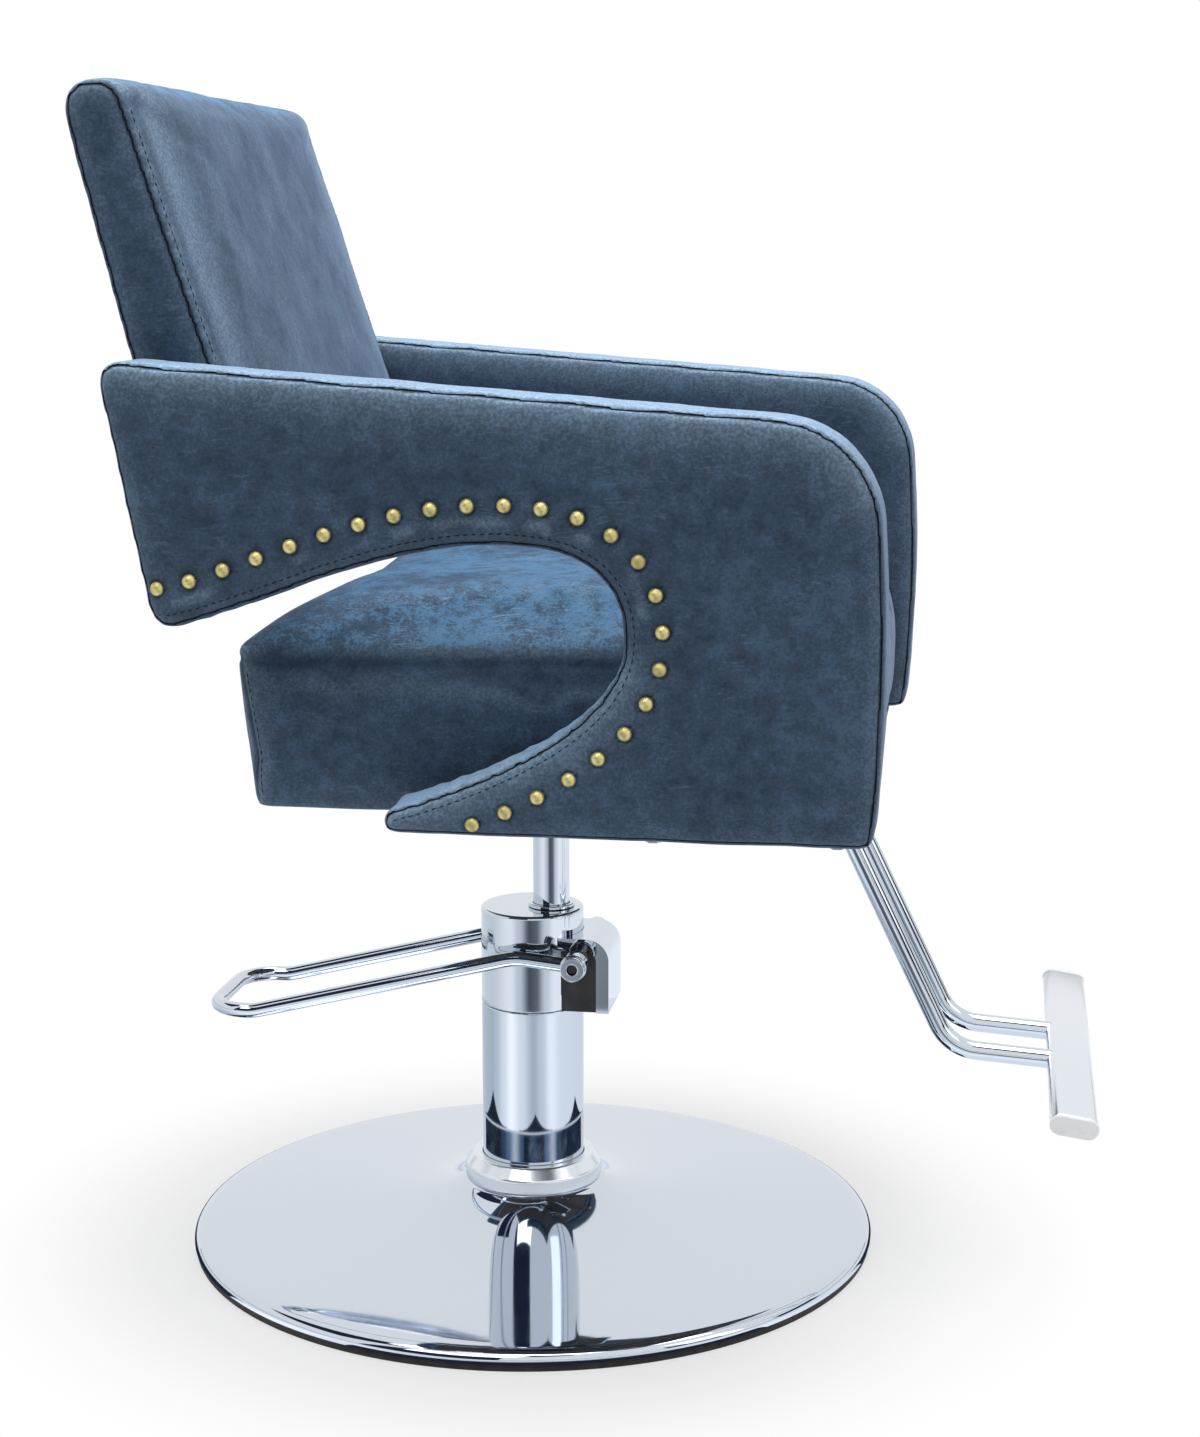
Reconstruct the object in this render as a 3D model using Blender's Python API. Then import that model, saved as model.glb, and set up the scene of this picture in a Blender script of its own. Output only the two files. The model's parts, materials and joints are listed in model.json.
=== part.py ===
"""Hydraulic styling chair, built as separate named pieces that fit together.

The chair faces +X, +Y is the sitter's left and +Z is up. The origin is the middle of the base's
underside on the floor. Sizes are metres.
"""

import math

import bmesh
import bpy
from mathutils import Quaternion, Vector

# Fits
FIT = 0.0003
RUNNING = 0.0003
SCREW_PLAY = 0.0003
SIDES = 24

# Base
BASE_RADIUS = 0.302
RING_HEIGHT = 0.0066
RING_WIDTH = 0.009
PLATE_THICK = 0.005
SHEET = 0.002
RIM_HEIGHT = 0.0165
RIM_ROLL = 0.012
RING_SETBACK = 0.0015
NECK_HEIGHT = 0.0525
NECK_LIP = 0.002
NECK_PLAY = 0.0012
COLLAR_RADIUS = 0.0605
COLLAR_HEIGHT = 0.022
COLLAR_BEVEL = 0.0075

# Pump
COLUMN_RADIUS = 0.045
COLUMN_WALL = 0.0025
SLEEVE_TOP = 0.2135
HEAD_TOP = 0.300
HEAD_WALL = 0.003
HEAD_ROOF = 0.010
BLOCK_TOP = 0.034
RAM_X = 0.017
RAM_RADIUS = 0.016
RAM_BORE = 0.0195
RAM_WALL = 0.003
RAM_CYLINDER_TOP = 0.225
GLAND_DEPTH = 0.020
GLAND_FLANGE = 0.0065
WIPER_THICK = 0.0036
BUSH_WALL = 0.0027
BUSH_FLANGE_RADIUS = 0.0205
BUSH_FLANGE = 0.0032
PISTON_BOTTOM = 0.100
PISTON_HEIGHT = 0.023
SEAL_WIRE = 0.0015
WASHER_THICK = 0.003
PUMP_BOLT_CIRCLE = 0.030
PUMP_BOLT_RADIUS = 0.003
PUMP_BOLT_REACH = 0.020

# Foot lever and its linkage
PIVOT_X = 0.047
PIVOT_Z = 0.262
SHAFT_RADIUS = 0.006
CHEEK_OUT = 0.0325
CHEEK_THICK = 0.006
BRACKET_BACK = 0.030
BRACKET_FRONT = 0.0705
BRACKET_TOP = 0.277
BRACKET_BEND = 0.017
BRACKET_FLOOR = 0.0145
BRACKET_SCREW_RADIUS = 0.003
BRACKET_SCREW_HEAD = 0.0055
BRACKET_SCREW_REACH = 0.029
SHAFT_BUSH_WALL = 0.0015
GUARD_BACK = 0.028
GUARD_SHEET = 0.0025
GUARD_RETURN = 0.0085
SLOT_BACK = 0.026
FORK_OUT = 0.0235
FORK_ARM = 0.005
FORK_HALF = 0.004
FORK_HUB = 0.0105
PLUNGER_X = -0.026
PLUNGER_RADIUS = 0.0052
PLUNGER_HEAD_RADIUS = 0.0085
PLUNGER_HEAD = 0.006
PLUNGER_FOOT = 0.150
BARREL_TOP = 0.190
BARREL_WALL = 0.0035
SPRING_WIRE = 0.0011
SPRING_TURNS = 6
LEG_Y = 0.0585
PEDAL_BAR_RADIUS = 0.0065
PEDAL_FRONT = 0.058
PEDAL_CREST_X = -0.004
PEDAL_CREST_Z = 0.2675
PEDAL_DIP_X = -0.239
PEDAL_END_X = -0.279
PEDAL_END_Z = 0.209
PEDAL_LOOP_BEND = 0.032
EYE_RADIUS = 0.0115
BOLT_RADIUS = 0.004
PIVOT_BOLT_HEAD = 0.0105
PIVOT_BOLT_THICK = 0.0055
PIVOT_BOLT_REACH = 0.024

# Seat
UNDERSIDE = 0.436
SEAT_REAR = -0.194
SEAT_FRONT = 0.300
SEAT_TOP = 0.573
SEAT_CROWN = 0.030
SEAT_CROWN_POWER = 4
SEAT_SLOPE = 0.018
SEAT_EDGE = 0.013
SEAT_CORNER = 0.009
SEAT_REAR_LEAN = 0.018
SEAT_PLAY = 0.003
BOARD_THICK = 0.015
BOARD_REAR = -0.140
BOARD_FRONT = 0.280
BOARD_HALF = 0.220
SEAT_PLATE_HALF = 0.095
SEAT_PLATE_THICK = 0.005
HUB_RADIUS = 0.029
HUB_DROP = 0.042
RIB_THICK = 0.005
PLATE_BOLT_OFFSET = 0.075
HEX_RADIUS = 0.0065
HEX_THICK = 0.005
BOARD_BITE = 0.010
BAR_THICK = 0.004
BAR_HALF_LENGTH = 0.290
BAR_HALF_WIDTH = 0.0125
FRONT_BAR_X = 0.2840
REAR_BAR_X = 0.145
ARM_BITE = 0.024
ARM_BOLT_INSET = 0.016

# Arm panels, sizes of the outline seen from the side
ARM_INNER = 0.260
ARM_THICK = 0.075
ARM_EDGE = 0.008
ARM_REAR_X = -0.2685
ARM_REAR_Z = 0.7885
ARM_REAR_CORNER = 0.016
ARM_FRONT_X = 0.3168
ARM_FRONT_Z = 0.7445
ARM_FRONT_CORNER = 0.082
ARM_FRONT_BULGE = 0.0055
ARM_TOE_X = 0.3135
ARM_TOE_CORNER = 0.010
ARM_TIP_X = -0.0445
ARM_TIP_RADIUS = 0.0105
ARM_ELBOW_X = -0.2265
ARM_ELBOW_Z = 0.5825
ARM_ELBOW_CORNER = 0.018
ARM_SLOPE = 0.318
MOUTH_REAR_X = -0.190
MOUTH_TOP_X = 0.040
MOUTH_TOP_Z = 0.654
MOUTH_FRONT_X = 0.128
MOUTH_FRONT_Z = 0.588
MOUTH_REAR_PULL = 0.085
MOUTH_TOP_PULL = 0.055
MOUTH_FRONT_PULL = 0.047
MOUTH_LOW_PULL = 0.060
MOUTH_TIP_PULL = 0.090

# Back
BACK_PLAY = 0.0005
BACK_BOTTOM = 0.628
BACK_TOP = 0.995
BACK_REAR_X = -0.2254
BACK_FRONT_X = -0.1450
BACK_REAR_LEAN = 0.2527
BACK_FRONT_LEAN = 0.330
BACK_TOP_ROUND = 0.023
BACK_FOOT_ROUND = 0.013
BACK_EDGE = 0.006
BACK_CROWN = 0.015
BACK_CROWN_POWER = 12
BACK_REST_CROWN = 0.003
STUD_RADIUS = 0.004
STUD_HALF = 0.025
STUD_SHARES = (0.40, 0.765)

# Footrest
TUBE_RADIUS = 0.0080
TUBE_Y = 0.040
TUBE_TOP_X = 0.2555
TUBE_BEND_X = 0.367
TUBE_BEND_Z = 0.200
TUBE_BEND_RADIUS = 0.040
FOOT_BAR_X = 0.468
FOOT_BAR_Z = 0.193
FOOT_BAR_HALF = 0.203
FOOT_BAR_WIDTH = 0.038
FOOT_BAR_HEIGHT = 0.016
FOOT_BAR_WALL = 0.002
FOOT_BAR_TILT = math.radians(8.0)
CAP_THICK = 0.005
CAP_SPIGOT = 0.012
BRACKET_PLATE_REAR = 0.185
BRACKET_PLATE_FRONT = 0.270
BRACKET_PLATE_HALF = 0.062
FOOT_BOLT_X = 0.204
FOOT_BOLT_Y = 0.032

# Sizes that follow from the ones above
ARM_OUTER = ARM_INNER + ARM_THICK
ARM_BOLT_Y = ARM_INNER + ARM_BOLT_INSET
SEAT_HALF = ARM_INNER - SEAT_PLAY
BACK_HALF = ARM_INNER - BACK_PLAY
COLUMN_BORE = COLUMN_RADIUS - COLUMN_WALL
HEAD_RADIUS = COLUMN_RADIUS + FIT / 2
HEAD_BOTTOM = SLEEVE_TOP + FIT
BRACKET_SEAT = HEAD_BOTTOM + BRACKET_FLOOR
UNDER_METAL = UNDERSIDE - FIT
BOARD_BOTTOM = UNDERSIDE + FIT
PLUNGER_TOP = PIVOT_Z - FORK_HALF - FIT
ROD_FOOT = PISTON_BOTTOM + PISTON_HEIGHT + WASHER_THICK + 2 * FIT
ROD_TOP = UNDER_METAL - SEAT_PLATE_THICK - 0.003
DISH_SPAN = BASE_RADIUS - COLLAR_RADIUS
DISH_RISE = NECK_HEIGHT - RIM_HEIGHT


def clear_scene() -> None:
    """Remove every object of the opened scene."""
    for obj in list(bpy.data.objects):
        bpy.data.objects.remove(obj, do_unlink=True)


def finish(name: str, color: tuple, roughness: float, metallic: float) -> bpy.types.Material:
    """Make one plain material."""
    material = bpy.data.materials.new(name)
    material.use_nodes = True
    shader = material.node_tree.nodes["Principled BSDF"]
    shader.inputs["Base Color"].default_value = (*color, 1.0)
    shader.inputs["Roughness"].default_value = roughness
    shader.inputs["Metallic"].default_value = metallic
    return material


def axis_empty(name: str, parent: bpy.types.Object | None, at: tuple) -> bpy.types.Object:
    """Make an empty on a joint's axis."""
    empty = bpy.data.objects.new(name, None)
    bpy.context.collection.objects.link(empty)
    empty.parent = parent
    empty.location = Vector(at) - stand(parent)
    return empty


def stand(parent: bpy.types.Object | None) -> Vector:
    """Return where an unturned empty stands in the world."""
    place = Vector((0.0, 0.0, 0.0))
    while parent is not None:
        place += parent.location
        parent = parent.parent
    return place


def piece(name: str, bm: bmesh.types.BMesh, look, parent, at=(0, 0, 0), turn=(0, 0, 0)) -> bpy.types.Object:
    """Turn a bmesh into a named object that stands at a world point under its parent."""
    bmesh.ops.recalc_face_normals(bm, faces=bm.faces)
    mesh = bpy.data.meshes.new(name)
    bm.to_mesh(mesh)
    bm.free()
    mesh.polygons.foreach_set("use_smooth", [True] * len(mesh.polygons))
    mesh.set_sharp_from_angle(angle=math.radians(35))
    if look is not None:
        mesh.materials.append(look)
    obj = bpy.data.objects.new(name, mesh)
    bpy.context.collection.objects.link(obj)
    obj.parent = parent
    obj.location = Vector(at) - stand(parent)
    obj.rotation_euler = turn
    return obj


def spun(profile: list, sides: int = SIDES, ring: bool = False) -> bmesh.types.BMesh:
    """Spin a profile of radius and height pairs round the Z axis; a ring profile is closed on itself."""
    bm = bmesh.new()
    verts = [bm.verts.new((radius, 0.0, height)) for radius, height in profile]
    pairs = list(zip(verts, verts[1:]))
    if ring:
        pairs.append((verts[-1], verts[0]))
    edges = [bm.edges.new(pair) for pair in pairs]
    bmesh.ops.spin(
        bm, geom=verts + edges, cent=(0, 0, 0), axis=(0, 0, 1), angle=math.tau, steps=sides, use_merge=True
    )
    bmesh.ops.remove_doubles(bm, verts=bm.verts, dist=0.000001)
    return bm


def rod(radius: float, low: float, high: float, sides: int = SIDES) -> bmesh.types.BMesh:
    """Make a plain round rod along Z."""
    return spun([(0, high), (radius, high), (radius, low), (0, low)], sides)


def tube(inner: float, outer: float, low: float, high: float, sides: int = SIDES) -> bmesh.types.BMesh:
    """Make a plain round tube along Z."""
    return spun([(inner, high), (outer, high), (outer, low), (inner, low)], sides, ring=True)


def block(low: tuple, high: tuple) -> bmesh.types.BMesh:
    """Make a box between two corners."""
    bm = bmesh.new()
    bmesh.ops.create_cube(bm, size=1.0)
    low, high = Vector(low), Vector(high)
    bmesh.ops.scale(bm, vec=high - low, verts=bm.verts)
    bmesh.ops.translate(bm, vec=(low + high) / 2, verts=bm.verts)
    return bm


def lofted(rings: list) -> bmesh.types.BMesh:
    """Skin a row of rings of equal length and close both ends."""
    bm = bmesh.new()
    loops = [[bm.verts.new(point) for point in ring] for ring in rings]
    count = len(rings[0])
    for low, high in zip(loops, loops[1:]):
        for index in range(count):
            after = (index + 1) % count
            bm.faces.new((low[index], low[after], high[after], high[index]))
    bm.faces.new(list(reversed(loops[0])))
    bm.faces.new(loops[-1])
    return bm


def swept(path: list, radius: float, sides: int) -> bmesh.types.BMesh:
    """Sweep a round section along a path of points."""
    points = [Vector(point) for point in path]
    heading = (points[1] - points[0]).normalized()
    side = heading.orthogonal().normalized()
    rings = []
    for index, point in enumerate(points):
        before = points[max(index - 1, 0)]
        after = points[min(index + 1, len(points) - 1)]
        turned_to = (after - before).normalized()
        side.rotate(heading.rotation_difference(turned_to))
        heading = turned_to
        across = heading.cross(side)
        angles = [math.tau * step / sides for step in range(sides)]
        rings.append([point + radius * (math.cos(a) * side + math.sin(a) * across) for a in angles])
    return lofted(rings)


def bend(before: tuple, corner: tuple, after: tuple, radius: float, steps: int) -> list:
    """Return the points of the arc that rounds one corner of a path, in two or three dimensions."""
    here = Vector(corner).to_3d()
    come = (here - Vector(before).to_3d()).normalized()
    leave = (Vector(after).to_3d() - here).normalized()
    angle = come.angle(leave)
    start = here - come * radius * math.tan(angle / 2)
    middle = here + (leave - come).normalized() * radius / math.cos(angle / 2)
    axis = come.cross(leave).normalized()
    points = []
    for step in range(steps + 1):
        turn = Quaternion(axis, angle * step / steps)
        points.append(middle + turn @ (start - middle))
    return [tuple(point[: len(corner)]) for point in points]


def curve(start: tuple, pull: tuple, push: tuple, end: tuple, steps: int) -> list:
    """Return points of a cubic curve, without its last point."""
    points = []
    for step in range(steps):
        t = step / steps
        weights = ((1 - t) ** 3, 3 * t * (1 - t) ** 2, 3 * t * t * (1 - t), t**3)
        corners = (start, pull, push, end)
        points.append(tuple(sum(w * c[axis] for w, c in zip(weights, corners)) for axis in range(2)))
    return points


def line(start: tuple, end: tuple, steps: int) -> list:
    """Return points strictly between two ends of a straight run."""
    a, b = Vector(start), Vector(end)
    return [tuple(a.lerp(b, step / steps)) for step in range(1, steps)]


def inset_outline(outline: list, amount) -> list:
    """Move every point of a counterclockwise outline inwards, by one amount or one per point."""
    count = len(outline)
    moved = []
    for index, point in enumerate(outline):
        before = Vector(outline[index - 1])
        after = Vector(outline[(index + 1) % count])
        along = (after - before).normalized()
        step = amount if isinstance(amount, float) else amount[index]
        moved.append((point[0] - along.y * step, point[1] + along.x * step))
    return moved


def guide(name: str, bm: bmesh.types.BMesh, parent, at=(0, 0, 0), turn=(0, 0, 0)) -> bpy.types.Object:
    """Make a hidden shape that a Boolean uses."""
    obj = piece(name, bm, None, parent, at, turn)
    obj.hide_render = True
    obj.display_type = "WIRE"
    return obj


def combine(obj: bpy.types.Object, tool: bpy.types.Object, how: str = "DIFFERENCE") -> None:
    """Cut a hidden shape from a piece, or join it on."""
    modifier = obj.modifiers.new(tool.name, "BOOLEAN")
    modifier.operation = how
    modifier.solver = "EXACT"
    modifier.object = tool


ALONG_Y = (math.pi / 2, 0, 0)


class Looks:
    """The finishes of the chair."""

    def __init__(self) -> None:
        self.cover = finish("upholstery", (0.062, 0.098, 0.160), 0.75, 0.0)
        self.chrome = finish("chrome", (0.80, 0.81, 0.83), 0.08, 1.0)
        self.steel = finish("bare_steel", (0.50, 0.51, 0.53), 0.35, 1.0)
        self.black = finish("black_paint", (0.020, 0.020, 0.022), 0.5, 0.0)
        self.rubber = finish("black_rubber", (0.015, 0.015, 0.016), 0.8, 0.0)
        self.brass = finish("bearing_brass", (0.55, 0.42, 0.18), 0.35, 1.0)
        self.board = finish("plywood", (0.45, 0.32, 0.19), 0.7, 0.0)
        self.cap = finish("pale_plastic", (0.72, 0.73, 0.75), 0.35, 0.0)


def build_base(look: Looks, base: bpy.types.Object) -> None:
    """Build the floor ring, plate, dish, collar and column."""
    ring_out = BASE_RADIUS - RING_SETBACK
    ring_in = ring_out - RING_WIDTH
    soft = 0.001
    ring = [
        (ring_in, RING_HEIGHT),
        (ring_out, RING_HEIGHT),
        (ring_out, soft),
        (ring_out - soft, 0.0),
        (ring_in, 0.0),
    ]
    piece("floor_ring", spun(ring, 48, ring=True), look.rubber, base)

    plate = piece("base_plate", rod(ring_in - FIT, 0.0, PLATE_THICK, 48), look.steel, base)
    rim_start = (BASE_RADIUS - RIM_ROLL, RIM_HEIGHT)
    flare = (COLLAR_RADIUS + 0.10 * DISH_SPAN, RIM_HEIGHT + 0.40 * DISH_RISE)
    belly = (COLLAR_RADIUS + 0.43 * DISH_SPAN, RIM_HEIGHT + 0.29 * DISH_RISE)
    shell = curve((COLLAR_RADIUS + NECK_LIP, NECK_HEIGHT), flare, belly, rim_start, 6)
    rim = [
        rim_start,
        (BASE_RADIUS - 0.0045, RIM_HEIGHT - 0.0020),
        (BASE_RADIUS - 0.0008, RIM_HEIGHT - 0.0055),
        (BASE_RADIUS, RING_HEIGHT + FIT),
    ]
    neck = COLUMN_RADIUS + NECK_PLAY
    outside = [(neck, NECK_HEIGHT)] + shell + rim
    inside = [(BASE_RADIUS - SHEET, RING_HEIGHT + FIT), (BASE_RADIUS - SHEET - 0.001, RIM_HEIGHT - 0.006)]
    inside += [(radius - 0.0006, height - SHEET) for radius, height in reversed(shell + rim[:1])]
    inside += [(neck, NECK_HEIGHT - SHEET)]
    piece("base_dish", spun(outside + inside, 48, ring=True), look.chrome, base)

    foot = NECK_HEIGHT + FIT
    bore = COLUMN_RADIUS + FIT
    collar = [
        (bore, foot),
        (COLLAR_RADIUS, foot),
        (COLLAR_RADIUS, foot + COLLAR_HEIGHT * 0.5),
        (COLLAR_RADIUS - 0.0012, foot + COLLAR_HEIGHT * 0.62),
        (COLLAR_RADIUS - COLLAR_BEVEL, foot + COLLAR_HEIGHT),
        (bore, foot + COLLAR_HEIGHT),
    ]
    piece("base_collar", spun(collar, 40, ring=True), look.chrome, base)

    sleeve_foot = PLATE_THICK + FIT
    piece("column_sleeve", tube(COLUMN_BORE, COLUMN_RADIUS, sleeve_foot, SLEEVE_TOP, 40), look.chrome, base)

    pump = piece("pump_block", rod(COLUMN_BORE - FIT, sleeve_foot, BLOCK_TOP, 24), look.black, base)
    sink = PUMP_BOLT_RADIUS * 2
    for number in range(3):
        angle = math.tau * number / 3 + math.pi / 3
        at = (PUMP_BOLT_CIRCLE * math.cos(angle), PUMP_BOLT_CIRCLE * math.sin(angle), 0.0)
        depth = sink - PUMP_BOLT_RADIUS
        screw = [
            (0, PUMP_BOLT_REACH),
            (PUMP_BOLT_RADIUS, PUMP_BOLT_REACH),
            (PUMP_BOLT_RADIUS, depth + 0.0006),
            (sink, 0.0006),
            (0, 0.0006),
        ]
        piece(f"pump_bolt_{number + 1}", spun(screw, 16), look.steel, base, at)
        wide = PUMP_BOLT_RADIUS + SCREW_PLAY
        hole = [
            (0, PUMP_BOLT_REACH + FIT),
            (wide, PUMP_BOLT_REACH + FIT),
            (wide, depth + 0.0006),
            (sink + SCREW_PLAY, 0.0006),
            (sink + SCREW_PLAY, -0.002),
            (0, -0.002),
        ]
        cutter = guide(f"pump_bolt_hole_{number + 1}", spun(hole, 16), base, at)
        combine(plate, cutter)
        combine(pump, cutter)


def build_pump(look: Looks, base: bpy.types.Object) -> None:
    """Build the pump head, the ram's cylinder and guides, and the plunger's barrel."""
    ram = (RAM_X, 0.0, 0.0)
    low = BLOCK_TOP + FIT
    wall_out = RAM_BORE + RAM_WALL
    piece("ram_cylinder", tube(RAM_BORE, wall_out, low, RAM_CYLINDER_TOP), look.steel, base, ram)
    slip = RAM_RADIUS + RUNNING
    top = RAM_CYLINDER_TOP + FIT
    gland = [
        (slip, top + GLAND_FLANGE),
        (wall_out, top + GLAND_FLANGE),
        (wall_out, top),
        (RAM_BORE - FIT, top),
        (RAM_BORE - FIT, top - GLAND_DEPTH),
        (slip, top - GLAND_DEPTH),
    ]
    piece("ram_gland", spun(gland, ring=True), look.brass, base, ram)
    seat = top + GLAND_FLANGE + FIT
    piece("rod_wiper", tube(slip, slip + 0.005, seat, seat + WIPER_THICK), look.rubber, base, ram)

    barrel_out = PLUNGER_RADIUS + RUNNING + BARREL_WALL
    barrel = tube(PLUNGER_RADIUS + RUNNING, barrel_out, low, BARREL_TOP, 16)
    piece("plunger_barrel", barrel, look.steel, base, (PLUNGER_X, 0, 0))

    inner = HEAD_RADIUS - HEAD_WALL
    cap = [
        (0, HEAD_TOP),
        (HEAD_RADIUS - 0.003, HEAD_TOP),
        (HEAD_RADIUS - 0.0009, HEAD_TOP - 0.0009),
        (HEAD_RADIUS, HEAD_TOP - 0.003),
        (HEAD_RADIUS, HEAD_BOTTOM),
        (inner, HEAD_BOTTOM),
        (inner, HEAD_TOP - HEAD_ROOF),
        (0, HEAD_TOP - HEAD_ROOF),
    ]
    head = piece("pump_head", spun(cap, 40), look.chrome, base)
    bush_out = slip + BUSH_WALL
    bush_hole = rod(bush_out + FIT, HEAD_TOP - HEAD_ROOF - 0.01, HEAD_TOP + 0.01)
    combine(head, guide("bush_hole", bush_hole, base, ram))
    half = CHEEK_OUT + FIT
    slot = block((SLOT_BACK, -half, BRACKET_SEAT), (1.1 * BRACKET_FRONT, half, BRACKET_TOP + FIT))
    combine(head, guide("lever_slot", slot, base))
    bush = [
        (slip, HEAD_TOP + FIT + BUSH_FLANGE),
        (BUSH_FLANGE_RADIUS - 0.001, HEAD_TOP + FIT + BUSH_FLANGE),
        (BUSH_FLANGE_RADIUS, HEAD_TOP + FIT + BUSH_FLANGE - 0.001),
        (BUSH_FLANGE_RADIUS, HEAD_TOP + FIT),
        (bush_out, HEAD_TOP + FIT),
        (bush_out, HEAD_TOP - HEAD_ROOF),
        (slip, HEAD_TOP - HEAD_ROOF),
    ]
    piece("rod_bush", spun(bush, ring=True), look.steel, base, ram)

    screw_z = HEAD_BOTTOM + BRACKET_FLOOR / 2
    thin, wide, reach = BRACKET_SCREW_RADIUS, BRACKET_SCREW_HEAD, BRACKET_SCREW_REACH
    sunk = thin - wide
    screw = [(0, 0), (wide, 0), (thin, sunk), (thin, -reach), (0, -reach)]
    front = (BRACKET_FRONT - FIT, 0.0, screw_z)
    piece("bracket_screw", spun(screw, 16), look.steel, base, front, (0, math.pi / 2, 0))
    play = SCREW_PLAY
    bored = [(0, thin), (wide + play, thin), (wide + play, 0), (thin + play, sunk)]
    bored += [(thin + play, -reach - play), (0, -reach - play)]
    screw_hole = guide("bracket_screw_hole", spun(bored, 16), base, front, (0, math.pi / 2, 0))
    combine(head, screw_hole)

    cheek = [(BRACKET_BACK, HEAD_BOTTOM), (BRACKET_FRONT, HEAD_BOTTOM)]
    back_top = (BRACKET_BACK, BRACKET_TOP)
    cheek += bend(cheek[-1], (BRACKET_FRONT, BRACKET_TOP), back_top, BRACKET_BEND, 6) + [back_top]
    slab = lofted([[(x, y, z) for x, z in cheek] for y in (-CHEEK_OUT, CHEEK_OUT)])
    bracket = piece("lever_bracket", slab, look.black, base)
    inner_half = CHEEK_OUT - CHEEK_THICK
    channel = block((0.0, -inner_half, BRACKET_SEAT), (1.1 * BRACKET_FRONT, inner_half, HEAD_TOP))
    combine(bracket, guide("bracket_channel", channel, base))
    around = rod(HEAD_RADIUS + FIT, HEAD_BOTTOM - 0.01, BRACKET_SEAT + FIT, 40)
    combine(bracket, guide("bracket_round", around, base))
    pivot = (PIVOT_X, 0.0, PIVOT_Z)
    bush_radius = SHAFT_RADIUS + RUNNING + SHAFT_BUSH_WALL
    eyes = guide("bracket_eyes", rod(bush_radius + FIT, -0.05, 0.05, 24), base, pivot, ALONG_Y)
    combine(bracket, eyes)
    combine(bracket, screw_hole)
    for name, sign in (("right", 1), ("left", -1)):
        low, high = sorted((sign * inner_half, sign * CHEEK_OUT))
        ring = tube(SHAFT_RADIUS + RUNNING, bush_radius, low, high, 24)
        piece(f"shaft_bush_{name}", ring, look.brass, base, pivot, ALONG_Y)

    guard = piece("lever_guard", guard_channel(), look.chrome, base)
    shave = rod(HEAD_RADIUS + FIT, HEAD_BOTTOM - 0.01, HEAD_TOP + 0.01, 40)
    combine(guard, guide("guard_round", shave, base))


def guard_channel() -> bmesh.types.BMesh:
    """Make the bent channel that covers the bracket's front and top, with its two side returns."""
    front = BRACKET_FRONT + FIT
    top = BRACKET_TOP + FIT
    foot = (front, HEAD_BOTTOM)
    back = (GUARD_BACK, top)
    path = [foot] + bend(foot, (front, top), back, BRACKET_BEND + FIT, 7) + [back]
    inner = CHEEK_OUT + FIT
    outer = inner + GUARD_SHEET
    section = [(-outer, GUARD_SHEET), (outer, GUARD_SHEET), (outer, -GUARD_RETURN), (inner, -GUARD_RETURN)]
    section += [(inner, 0.0), (-inner, 0.0), (-inner, -GUARD_RETURN), (-outer, -GUARD_RETURN)]
    rings = []
    for index, point in enumerate(path):
        before = path[max(index - 1, 0)]
        after = path[min(index + 1, len(path) - 1)]
        along = (Vector(after) - Vector(before)).normalized()
        rings.append([(point[0] + along.y * rise, y, point[1] - along.x * rise) for y, rise in section])
    return lofted(rings)


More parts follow.
